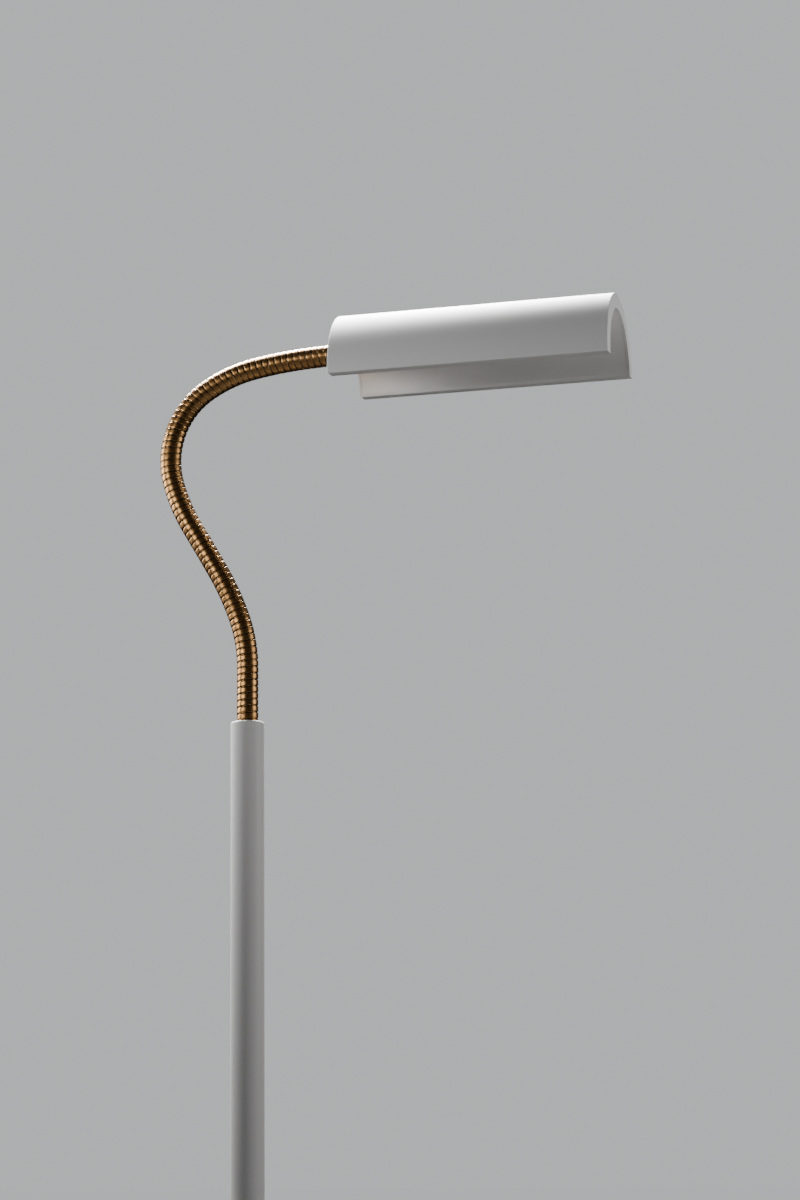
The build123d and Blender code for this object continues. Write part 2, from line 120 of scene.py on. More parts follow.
@dataclass
class NeckLine:
    """The neck's middle line at rest: equal arcs that meet end to end, in the XZ plane."""

    stations: list[Vector] = field(default_factory=list)
    headings: list[float] = field(default_factory=list)
    length: float = 0.0

    @classmethod
    def from_frame(cls) -> "NeckLine":
        """Reads the stations from the post's rim and the joints.

        Returns:
            The line, with one heading per station, from +Z towards +X, in radians.
        """
        rim = Vector((0.0, 0.0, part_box("post_tube")[1].z))
        bends = [joint for joint in frame["joints"] if joint["name"].startswith("neck_")]
        points = [rim] + [Vector(joint["pos_m"]) for joint in bends] + [joint_place("head_swivel")]
        line = cls(stations=points, headings=[0.0])
        for start, end in zip(points, points[1:]):
            chord = end - start
            direction = math.atan2(chord.x, chord.z)
            line.headings.append(2 * direction - line.headings[-1])
        half_turn = (line.headings[1] - line.headings[0]) / 2
        line.length = (points[1] - points[0]).length
        if abs(half_turn) > NEAR:
            line.length *= half_turn / math.sin(half_turn)
        return line

    @property
    def total(self) -> float:
        """The line's length from the post's rim to the swivel."""
        return self.length * (len(self.stations) - 1)

    def at(self, distance: float) -> tuple[Vector, Vector, Vector]:
        """Finds the line's place and directions.

        Args:
            distance: Metres from the post's rim, which may run past either end.

        Returns:
            The point, the direction along the line, and the direction across it.
        """
        last = len(self.stations) - 2
        number = min(max(int(distance // self.length), 0), last)
        rest = distance - number * self.length
        start, heading = self.stations[number], self.headings[number]
        turn = self.headings[number + 1] - heading
        inside = min(max(rest, 0.0), self.length)
        new_heading = heading + turn * inside / self.length
        if abs(turn) < NEAR:
            point = start + inside * Vector((math.sin(heading), 0.0, math.cos(heading)))
        else:
            radius = self.length / turn
            point = start + radius * Vector((math.cos(heading) - math.cos(new_heading), 0.0,
                                             math.sin(new_heading) - math.sin(heading)))
        along = Vector((math.sin(new_heading), 0.0, math.cos(new_heading)))
        across = Vector((math.cos(new_heading), 0.0, -math.sin(new_heading)))
        return point + along * (rest - inside), along, across


@dataclass
class HeadFrame:
    """The shade's own directions: x along it from the neck end, z up from its open side."""

    place: Matrix
    length: float
    radius: float

    @classmethod
    def from_frame(cls) -> "HeadFrame":
        """Works the frame out from the swivel and the light bar's board.

        Returns:
            The frame, whose matrix takes the shade's own points to the lamp's.
        """
        axis = joint_axis("head_swivel")
        board = frame["nodes"]["led_board"].data
        normal = max(board.polygons, key=lambda face: face.area).normal.copy()
        up = normal if normal.z > 0 else -normal
        up = (up - axis * up.dot(axis)).normalized()
        side = up.cross(axis)
        turn = Matrix((axis, side, up)).transposed()
        shell = frame["nodes"]["shade_outer_shell"].data.vertices
        low, high = extent([turn.transposed() @ vertex.co for vertex in shell])
        origin = turn @ Vector((low.x, (low.y + high.y) / 2, low.z))
        return cls(Matrix.Translation(origin) @ turn.to_4x4(), high.x - low.x, high.z - low.z)

    def span(self, node: str) -> tuple[Vector, Vector]:
        """Finds a node's extent in the shade's own directions.

        Args:
            node: A CAD node's name.

        Returns:
            The lowest and highest corner.
        """
        back = self.place.inverted()
        return extent([back @ vertex.co for vertex in frame["nodes"][node].data.vertices])


# ------------------------------------------------------------------ making meshes
class Body(Enum):
    """The bodies that whole pieces ride."""

    STAND = "stand"
    HEAD = "head"
    FOOT_SWITCH = "foot_switch"


class Maker:
    """Turns bmesh shapes into finished objects whose place is in their mesh."""

    @staticmethod
    def finish(name: str, mesh: bmesh.types.BMesh, smooth_angle: float = 35.0) -> bpy.types.Object:
        """Closes a bmesh and links its object at the origin.

        Args:
            name: The piece's name.
            mesh: The shape, which is freed.
            smooth_angle: Edges sharper than this, in degrees, stay hard.

        Returns:
            The new object.
        """
        bmesh.ops.remove_doubles(mesh, verts=mesh.verts, dist=WELD)
        bmesh.ops.recalc_face_normals(mesh, faces=mesh.faces)
        Maker.mark(mesh, smooth_angle)
        data = bpy.data.meshes.new(name)
        mesh.to_mesh(data)
        mesh.free()
        piece = bpy.data.objects.new(name, data)
        bpy.context.scene.collection.objects.link(piece)
        return piece

    @staticmethod
    def finish_mesh(piece: bpy.types.Object, smooth_angle: float = 35.0) -> None:
        """Sets the hard edges and the edge attribute of a piece whose mesh was cut.

        Args:
            piece: The piece.
            smooth_angle: Edges sharper than this, in degrees, stay hard.
        """
        mesh = bmesh.new()
        mesh.from_mesh(piece.data)
        Maker.mark(mesh, smooth_angle)
        mesh.to_mesh(piece.data)
        mesh.free()

    @staticmethod
    def mark(mesh: bmesh.types.BMesh, smooth_angle: float) -> None:
        """Marks hard edges, and how sharply each point's edges turn.

        Args:
            mesh: The shape to change.
            smooth_angle: Edges sharper than this, in degrees, stay hard.
        """
        layer = mesh.verts.layers.float.get("edge") or mesh.verts.layers.float.new("edge")
        for vertex in mesh.verts:
            vertex[layer] = 0.0
        for edge in mesh.edges:
            turn = edge.calc_face_angle(0.0) if len(edge.link_faces) == 2 else 0.0
            edge.smooth = turn < math.radians(smooth_angle)
            wear = min(turn / WORN_TURN, 1.0) if edge.is_convex else 0.0
            for vertex in edge.verts:
                vertex[layer] = max(vertex[layer], wear)
        for face in mesh.faces:
            face.smooth = True

    @staticmethod
    def plug(radius: float, length: float, place: Matrix) -> bpy.types.Object:
        """Makes a round cutter, centred on a place and lying along its z.

        Args:
            radius: The cutter's radius.
            length: Its length.
            place: Where it goes.

        Returns:
            The cutter's object.
        """
        mesh = bmesh.new()
        bmesh.ops.create_cone(mesh, cap_ends=True, segments=CUTTER_SIDES, radius1=radius, radius2=radius,
                              depth=length, matrix=place)
        data = bpy.data.meshes.new("cutter")
        mesh.to_mesh(data)
        mesh.free()
        cutter = bpy.data.objects.new("cutter", data)
        bpy.context.scene.collection.objects.link(cutter)
        return cutter

    @staticmethod
    def lathe(outline: Sequence[Point], steps: int = 96, closed: bool = True) -> bmesh.types.BMesh:
        """Spins an outline of (radius, height) points about +Z.

        Args:
            outline: The points, in metres, in order round the section.
            steps: How many steps a full turn takes.
            closed: Whether the outline closes on itself.

        Returns:
            The turned shape.
        """
        mesh = bmesh.new()
        corners = [mesh.verts.new((radius, 0.0, height)) for radius, height in outline]
        pairs = list(zip(corners, corners[1:])) + ([(corners[-1], corners[0])] if closed else [])
        edges = [mesh.edges.new(pair) for pair in pairs if pair[0] is not pair[1]]
        bmesh.ops.spin(mesh, geom=corners + edges, cent=(0, 0, 0), axis=(0, 0, 1), dvec=(0, 0, 0),
                       angle=FULL_TURN, steps=steps, use_merge=True, use_duplicate=False)
        bmesh.ops.remove_doubles(mesh, verts=mesh.verts, dist=WELD)
        return mesh

    @staticmethod
    def bar(outline: Sequence[Point], start: float, end: float) -> bmesh.types.BMesh:
        """Extrudes an outline of (y, z) points along +X, with both ends closed.

        Args:
            outline: The points, in metres, in order round the section.
            start: Where the bar starts along x.
            end: Where it ends.

        Returns:
            The bar.
        """
        mesh = bmesh.new()
        corners = [mesh.verts.new((start, y, z)) for y, z in outline]
        face = mesh.faces.new(corners)
        made = bmesh.ops.extrude_face_region(mesh, geom=[face], use_keep_orig=True)
        moved = [item for item in made["geom"] if isinstance(item, bmesh.types.BMVert)]
        bmesh.ops.translate(mesh, verts=moved, vec=(end - start, 0, 0))
        bmesh.ops.recalc_face_normals(mesh, faces=mesh.faces)
        return mesh

    @staticmethod
    def bevel(mesh: bmesh.types.BMesh, chosen: Callable[[bmesh.types.BMEdge], bool], width: float,
              segments: int = 3) -> None:
        """Rounds the chosen edges.

        Args:
            mesh: The shape to change.
            chosen: Says whether an edge is rounded.
            width: The bevel's width, in metres.
            segments: How many steps the rounding takes.
        """
        edges = [edge for edge in mesh.edges if chosen(edge)]
        bmesh.ops.bevel(mesh, geom=edges, offset=width, offset_type="OFFSET", affect="EDGES",
                        segments=segments, profile=0.5, material=-1, clamp_overlap=True)

    @staticmethod
    def sharp(angle: float = 40.0) -> Callable[[bmesh.types.BMEdge], bool]:
        """Makes a test for edges that turn more than an angle.

        Args:
            angle: The least turn, in degrees.

        Returns:
            The test.
        """
        return lambda edge: len(edge.link_faces) == 2 and edge.calc_face_angle(0.0) > math.radians(angle)

    @staticmethod
    def move(mesh: bmesh.types.BMesh, place: Matrix) -> None:
        """Puts a whole shape in its place.

        Args:
            mesh: The shape to change.
            place: The matrix to apply.
        """
        bmesh.ops.transform(mesh, matrix=place, verts=mesh.verts)

    @staticmethod
    def cut(piece: bpy.types.Object, cutters: Iterable[bpy.types.Object]) -> None:
        """Cuts holes in a piece and drops the cutters.

        Args:
            piece: The piece to cut.
            cutters: Closed shapes to take away.
        """
        for cutter in cutters:
            change = piece.modifiers.new("hole", "BOOLEAN")
            change.operation = "DIFFERENCE"
            change.solver = "EXACT"
            change.object = cutter
            bpy.context.view_layer.update()
            seen = piece.evaluated_get(bpy.context.evaluated_depsgraph_get())
            data = bpy.data.meshes.new_from_object(seen)
            piece.modifiers.clear()
            piece.data = data
            bpy.data.objects.remove(cutter)


def arc(centre: Point, radius: float, start: float, end: float, steps: int) -> list[Point]:
    """Points on an arc, both ends included.

    Args:
        centre: The arc's centre.
        radius: Its radius.
        start: The first angle, in degrees from the first axis.
        end: The last angle.
        steps: How many steps between them.

    Returns:
        The points.
    """
    angles = [math.radians(start + (end - start) * step / steps) for step in range(steps + 1)]
    return [(centre[0] + radius * math.cos(a), centre[1] + radius * math.sin(a)) for a in angles]


def ring(centre: Point, radius: float) -> list[Point]:
    """The points of a wire's round section, each once."""
    return arc(centre, radius, 0, 360 - 360 / WIRE_SIDES, WIRE_SIDES - 1)


# ------------------------------------------------------------------ finishes
class Nodes:
    """Short calls for building a node tree."""

    def __init__(self, tree: bpy.types.NodeTree) -> None:
        """Keeps the tree to build in."""
        self.tree = tree

    def add(self, kind: str, settings: dict | None = None, **values: object) -> bpy.types.Node:
        """Adds a node.

        Args:
            kind: The node's type, without its ShaderNode prefix.
            settings: Attributes to set on the node.
            **values: Socket values by name, with _ for a space.

        Returns:
            The node.
        """
        node = self.tree.nodes.new("ShaderNode" + kind)
        for name, value in (settings or {}).items():
            setattr(node, name, value)
        for name, value in values.items():
            node.inputs[name.replace("_", " ")].default_value = value
        return node

    def link(self, source: bpy.types.NodeSocket, target: bpy.types.NodeSocket) -> None:
        """Joins two sockets."""
        self.tree.links.new(source, target)

    def feed(self, socket: bpy.types.NodeSocket, value: object) -> None:
        """Links a socket to another, or sets its value."""
        if isinstance(value, bpy.types.NodeSocket):
            self.link(value, socket)
        else:
            socket.default_value = value

    def sum(self, operation: str, *values: object) -> bpy.types.NodeSocket:
        """Adds a sum.

        Args:
            operation: The Math node's operation.
            *values: Its inputs, as sockets or numbers.

        Returns:
            The result's socket.
        """
        node = self.add("Math", {"operation": operation})
        for number, value in enumerate(values):
            self.feed(node.inputs[number], value)
        return node.outputs["Value"]

    def mix(self, factor: object, first: object, second: object) -> bpy.types.NodeSocket:
        """Mixes two colours.

        Args:
            factor: The second colour's share, as a socket or a number.
            first: The first colour.
            second: The second colour.

        Returns:
            The result's socket.
        """
        node = self.add("Mix", {"data_type": "RGBA"})
        for number, value in ((0, factor), (6, first), (7, second)):
            self.feed(node.inputs[number], value)
        return node.outputs[2]

    def ramp(self, source: bpy.types.NodeSocket,
             stops: Sequence[tuple[float, Sequence[float]]]) -> bpy.types.NodeSocket:
        """Adds a colour ramp.

        Args:
            source: The value it reads.
            stops: Positions and colours.

        Returns:
            The ramp's colour socket.
        """
        node = self.add("ValToRGB")
        elements = node.color_ramp.elements
        for number, (position, colour) in enumerate(stops):
            element = elements[number] if number < 2 else elements.new(position)
            element.position = position
            element.color = (*colour, 1.0) if len(colour) == 3 else colour
        self.link(source, node.inputs["Fac"])
        return node.outputs["Color"]


def make_group(name: str, inputs: Sequence[tuple[str, str, object]],
               outputs: Sequence[tuple[str, str]]) -> tuple[Nodes, bpy.types.Node, bpy.types.Node]:
    """Starts a shader node group.

    Args:
        name: The group's name.
        inputs: Name, socket type and default of each input.
        outputs: Name and socket type of each output.

    Returns:
        The tree's builder, and its input and output nodes.
    """
    tree = bpy.data.node_groups.new(name, "ShaderNodeTree")
    for label, kind, default in inputs:
        socket = tree.interface.new_socket(name=label, in_out="INPUT", socket_type=kind)
        socket.default_value = default
    for label, kind in outputs:
        tree.interface.new_socket(name=label, in_out="OUTPUT", socket_type=kind)
    build = Nodes(tree)
    return build, tree.nodes.new("NodeGroupInput"), tree.nodes.new("NodeGroupOutput")


GROUP_OUTPUTS = (("Colour", "NodeSocketColor"), ("Roughness", "NodeSocketFloat"),
                 ("Height", "NodeSocketFloat"))
# The fine surface, in repeats per metre, shares of a cell, or shares of the value it changes.
PEEL_SHARE, PEEL_HEIGHT = 0.3, 0.8
SPECK_CELLS, SPECK_RADIUS, SPECK_RARITY, SPECK_DARKNESS = 330.0, 0.085, 0.62, 0.75
SPECK_COLOUR = (0.05, 0.045, 0.04, 1.0)
WEAR_GRAIN, WEAR_MOTTLE, WEAR_START, WEAR_FULL, WEAR_POLISH = 0.5, 0.9, 0.22, 0.62, -0.14
# Lines along the strip: fine across it and long around it.
LINE_SCALE = (90.0, 90.0, 3600.0)
TARNISH_SIZE, TARNISH_STOPS, TARNISH_DEPTH, TARNISH_DULLING = 55.0, (0.42, 0.66), 0.35, 0.3
TARNISH_COLOUR = (0.17, 0.085, 0.03, 1.0)
LINE_ROUGHNESS = 0.12
GROOVE_CLEAR = 0.9              # the crown value at which a groove's dirt ends


def surface_group() -> bpy.types.NodeTree:
    """Builds the fine surface that every finish shares: mottling, grain, orange peel, specks and worn edges.

    Returns:
        The node group.
    """
    build, source, result = make_group(
        "surface_detail",
        [("Colour", "NodeSocketColor", (0.8, 0.8, 0.8, 1.0)),
         ("Second Colour", "NodeSocketColor", (0.7, 0.7, 0.7, 1.0)),
         ("Worn Colour", "NodeSocketColor", (0.8, 0.8, 0.8, 1.0)), ("Grain Size", "NodeSocketFloat", 900.0),
         ("Mottle Size", "NodeSocketFloat", 25.0), ("Roughness", "NodeSocketFloat", 0.5),
         ("Roughness Range", "NodeSocketFloat", 0.1), ("Specks", "NodeSocketFloat", 0.2),
         ("Wear", "NodeSocketFloat", 0.3)], GROUP_OUTPUTS)
    place = build.add("TexCoord").outputs["Object"]

    def noise(size: bpy.types.NodeSocket, detail: float) -> bpy.types.NodeSocket:
        """Adds a noise at one scale, and returns its value."""
        node = build.add("TexNoise", {"noise_dimensions": "3D"}, Detail=detail, Roughness=0.58)
        build.link(place, node.inputs["Vector"])
        build.link(size, node.inputs["Scale"])
        return node.outputs["Fac"]

    mottle = noise(source.outputs["Mottle Size"], 3.0)
    grain = noise(source.outputs["Grain Size"], 2.0)
    peel = noise(build.sum("MULTIPLY", source.outputs["Grain Size"], PEEL_SHARE), 1.0)
    base = build.mix(mottle, source.outputs["Colour"], source.outputs["Second Colour"])

    cells = build.add("TexVoronoi", {"feature": "F1"}, Scale=SPECK_CELLS)
    build.link(place, cells.inputs["Vector"])
    dot = build.sum("LESS_THAN", cells.outputs["Distance"], SPECK_RADIUS)
    rare = build.sum("GREATER_THAN", cells.outputs["Color"], SPECK_RARITY)
    specks = build.sum("MULTIPLY", build.sum("MULTIPLY", dot, rare), source.outputs["Specks"])
    darker = build.mix(SPECK_DARKNESS, source.outputs["Second Colour"], SPECK_COLOUR)
    speckled = build.mix(specks, base, darker)

    edge = build.add("Attribute", {"attribute_name": "edge"}).outputs["Fac"]
    broken = build.sum("MULTIPLY_ADD", grain, WEAR_GRAIN, build.sum("MULTIPLY", mottle, WEAR_MOTTLE))
    reach = build.sum("MULTIPLY", edge, broken)
    rubbed = build.add("MapRange", {"interpolation_type": "SMOOTHSTEP"})
    build.link(reach, rubbed.inputs["Value"])
    rubbed.inputs["From Min"].default_value = WEAR_START
    rubbed.inputs["From Max"].default_value = WEAR_FULL
    worn = build.sum("MULTIPLY", rubbed.outputs["Result"], source.outputs["Wear"])
    build.link(build.mix(worn, speckled, source.outputs["Worn Colour"]), result.inputs["Colour"])

    swing = build.sum("SUBTRACT", mottle, 0.5)
    spread = build.sum("MULTIPLY_ADD", swing, source.outputs["Roughness Range"], source.outputs["Roughness"])
    build.link(build.sum("MULTIPLY_ADD", worn, WEAR_POLISH, spread), result.inputs["Roughness"])
    build.link(build.sum("MULTIPLY_ADD", peel, PEEL_HEIGHT, grain), result.inputs["Height"])
    return build.tree


def drawn_group() -> bpy.types.NodeTree:
    """Builds the fine lines that rolling leaves along a wound strip, and a few deeper scratches.

    Returns:
        The node group.
    """
    build, source, result = make_group(
        "drawn_lines", [("Colour", "NodeSocketColor", (0.5, 0.3, 0.1, 1.0)),
                        ("Roughness", "NodeSocketFloat", 0.4)], GROUP_OUTPUTS)
    straight = build.add("Attribute", {"attribute_name": "straight"}).outputs["Vector"]
    stretch = build.add("Mapping")
    stretch.inputs["Scale"].default_value = LINE_SCALE
    build.link(straight, stretch.inputs["Vector"])
    lines = build.add("TexNoise", None, Scale=1.0, Detail=3.0, Roughness=0.65)
    build.link(stretch.outputs["Vector"], lines.inputs["Vector"])
    blotch = build.add("TexNoise", None, Scale=TARNISH_SIZE, Detail=4.0, Roughness=0.6)
    build.link(straight, blotch.inputs["Vector"])
    tarnish = build.ramp(blotch.outputs["Fac"],
                         [(TARNISH_STOPS[0], (0, 0, 0)), (TARNISH_STOPS[1], (1, 1, 1))])
    dull = build.sum("MULTIPLY", tarnish, TARNISH_DEPTH)
    build.link(build.mix(dull, source.outputs["Colour"], TARNISH_COLOUR), result.inputs["Colour"])
    swing = build.sum("MULTIPLY_ADD", lines.outputs["Fac"], LINE_ROUGHNESS, source.outputs["Roughness"])
    build.link(build.sum("MULTIPLY_ADD", dull, TARNISH_DULLING, swing), result.inputs["Roughness"])
    build.link(lines.outputs["Fac"], result.inputs["Height"])
    return build.tree


@dataclass(frozen=True)
class Finish:
    """One finish: its colours, its sheen and the depth of its fine surface."""

    name: str
    slot: str
    colour: tuple[float, float, float]
    second: tuple[float, float, float]
    roughness: float
    roughness_range: float = 0.1
    metallic: float = 0.0
    grain_size: float = 900.0
    mottle_size: float = 25.0
    bump: float = 0.05
    bump_depth: float = 0.00004
    coat: float = 0.0
    coat_roughness: float = 0.3
    specular: float = 0.5
    patina: tuple[float, float, float] | None = None
    worn: tuple[float, float, float] | None = None
    wear: float = 0.35
    specks: float = 0.0

    def make(self, surface: bpy.types.NodeTree, drawn: bpy.types.NodeTree) -> bpy.types.Material:
        """Builds the material.

        Args:
            surface: The shared surface group.
            drawn: The group of lines along a wound strip.

        Returns:
            The material.
        """
        material = bpy.data.materials.new(self.name)
        material.use_nodes = True
        build = Nodes(material.node_tree)
        shader = material.node_tree.nodes["Principled BSDF"]
        shader.inputs["Metallic"].default_value = self.metallic
        shader.inputs["Coat Weight"].default_value = self.coat
        shader.inputs["Coat Roughness"].default_value = self.coat_roughness
        shader.inputs["Specular IOR Level"].default_value = self.specular
        detail = build.add("Group", {"node_tree": surface})
        for label, value in (("Colour", (*self.colour, 1.0)), ("Second Colour", (*self.second, 1.0)),
                             ("Worn Colour", (*(self.worn or self.colour), 1.0)),
                             ("Grain Size", self.grain_size), ("Mottle Size", self.mottle_size),
                             ("Roughness", self.roughness), ("Roughness Range", self.roughness_range),
                             ("Specks", self.specks), ("Wear", self.wear)):
            detail.inputs[label].default_value = value
        colour, roughness, height = (detail.outputs[name] for name in ("Colour", "Roughness", "Height"))
        if self.patina is not None:
            lines = build.add("Group", {"node_tree": drawn})
            build.link(colour, lines.inputs["Colour"])
            build.link(roughness, lines.inputs["Roughness"])
            colour, roughness, height = (lines.outputs[name] for name in ("Colour", "Roughness", "Height"))
            depth = build.add("Attribute", {"attribute_name": "crown"})
            mask = build.ramp(depth.outputs["Fac"], [(0.0, (1, 1, 1)), (GROOVE_CLEAR, (0, 0, 0))])
            colour = build.mix(mask, colour, (*self.patina, 1.0))
        build.link(colour, shader.inputs["Base Color"])
        build.link(roughness, shader.inputs["Roughness"])
        bump = build.add("Bump", None, Strength=self.bump, Distance=self.bump_depth)
        build.link(height, bump.inputs["Height"])
        build.link(bump.outputs["Normal"], shader.inputs["Normal"])
        return material


PAINT_RUBBED = (0.86, 0.85, 0.83)

FINISHES = (
    Finish("shade_powder_coat", "shade_paint", (0.80, 0.79, 0.785), (0.765, 0.755, 0.75), 0.52, bump=0.3,
           worn=PAINT_RUBBED, specks=0.3),
    Finish("lining_powder_coat", "liner_paint", (0.76, 0.745, 0.735), (0.725, 0.71, 0.695), 0.6, bump=0.3,
           worn=PAINT_RUBBED, specks=0.3),
    Finish("post_powder_coat", "post_paint", (0.77, 0.755, 0.745), (0.735, 0.72, 0.705), 0.52, bump=0.3,
           worn=PAINT_RUBBED, specks=0.3),
    Finish("base_powder_coat", "base_paint", (0.77, 0.755, 0.745), (0.73, 0.715, 0.70), 0.55, bump=0.35,
           worn=PAINT_RUBBED, wear=0.5, specks=0.4),
    Finish("wound_brass", "neck_metal", (0.42, 0.225, 0.085), (0.33, 0.165, 0.055), 0.22, 0.08,
           metallic=1.0, grain_size=1500.0, mottle_size=260.0, patina=(0.03, 0.013, 0.003),
           worn=(0.62, 0.42, 0.21), wear=0.6, bump=0.15, bump_depth=0.00002),
    Finish("turned_brass", "ferrule_brass", (0.66, 0.47, 0.25), (0.58, 0.40, 0.20), 0.28, 0.1, metallic=1.0,
           worn=(0.80, 0.62, 0.36)),
    Finish("zinc_plate", "zinc_steel", (0.62, 0.63, 0.64), (0.54, 0.55, 0.56), 0.35, 0.15, metallic=1.0,
           worn=(0.74, 0.74, 0.75)),
    Finish("black_oxide", "dark_steel", (0.06, 0.06, 0.065), (0.09, 0.09, 0.09), 0.42, 0.15, metallic=1.0,
           worn=(0.35, 0.34, 0.33)),
    Finish("cast_iron_primer", "cast_iron", (0.07, 0.07, 0.075), (0.11, 0.11, 0.11), 0.7, 0.2,
           grain_size=500.0, bump=0.5, bump_depth=0.0003),
    Finish("pad_foam_rubber", "pad_rubber", (0.03, 0.03, 0.03), (0.045, 0.045, 0.045), 0.85, 0.1,
           grain_size=1400.0, bump=0.6, bump_depth=0.0002, worn=(0.08, 0.08, 0.078), specks=0.2),
    Finish("black_moulding", "black_plastic", (0.025, 0.025, 0.026), (0.035, 0.035, 0.036), 0.45, 0.1,
           bump=0.4, worn=(0.10, 0.10, 0.10)),
    Finish("driver_moulding", "driver_case", (0.75, 0.75, 0.72), (0.70, 0.70, 0.67), 0.5, 0.1, bump=0.3),
    Finish("lead_sheath", "wire_sheath", (0.70, 0.70, 0.68), (0.66, 0.66, 0.63), 0.4, 0.1),
    Finish("drawn_aluminium", "plain_aluminium", (0.72, 0.72, 0.73), (0.64, 0.64, 0.65), 0.36, 0.15,
           metallic=1.0),
    Finish("solder_mask", "board_white", (0.85, 0.86, 0.84), (0.80, 0.81, 0.79), 0.4, 0.1, coat=0.2),
    Finish("phosphor", "led_phosphor", (0.90, 0.72, 0.18), (0.86, 0.66, 0.14), 0.35, 0.1),
    Finish("opal_polycarbonate", "opal_lens", (0.90, 0.90, 0.87), (0.87, 0.87, 0.84), 0.32, 0.08, coat=0.3,
           bump=0.1, specks=0.15),
    Finish("cap_moulding", "cap_plastic", (0.80, 0.79, 0.77), (0.76, 0.75, 0.73), 0.45, 0.1, bump=0.4,
           worn=(0.86, 0.85, 0.83)),
)


class Paintbox:
    """Holds the finished materials and puts them on pieces."""

    def __init__(self) -> None:
        """Builds every finish once."""
        surface, drawn = surface_group(), drawn_group()
        self.materials = {finish.slot: finish.make(surface, drawn) for finish in FINISHES}

    def dress(self, piece: bpy.types.Object, slot: str) -> bpy.types.Object:
        """Gives a piece one finish.

        Args:
            piece: The piece.
            slot: The record's material slot.

        Returns:
            The same piece.
        """
        piece.data.materials.clear()
        piece.data.materials.append(self.materials[slot])
        return piece

    def settle(self, piece: bpy.types.Object, slot: str, body: Body, node: str) -> None:
        """Gives a rigid piece its finish and its body, and hides the CAD node it stands for.

        Args:
            piece: The piece.
            slot: The record's material slot.
            body: The body it rides.
            node: The CAD node that it replaces.
        """
        self.dress(piece, slot)
        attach(piece, body.value)
        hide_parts(node)
        log.info("made %s", piece.name)

    def dress_cad(self) -> None:
        """Gives every CAD node the finish of its slot."""
        for part in frame["record"]["subparts"]:
            node = frame["nodes"][part["node"]]
            for number in range(max(len(node.material_slots), 1)):
                if number >= len(node.data.materials):
                    node.data.materials.append(self.materials[part["material_slot"]])
                node.material_slots[number].material = self.materials[part["material_slot"]]


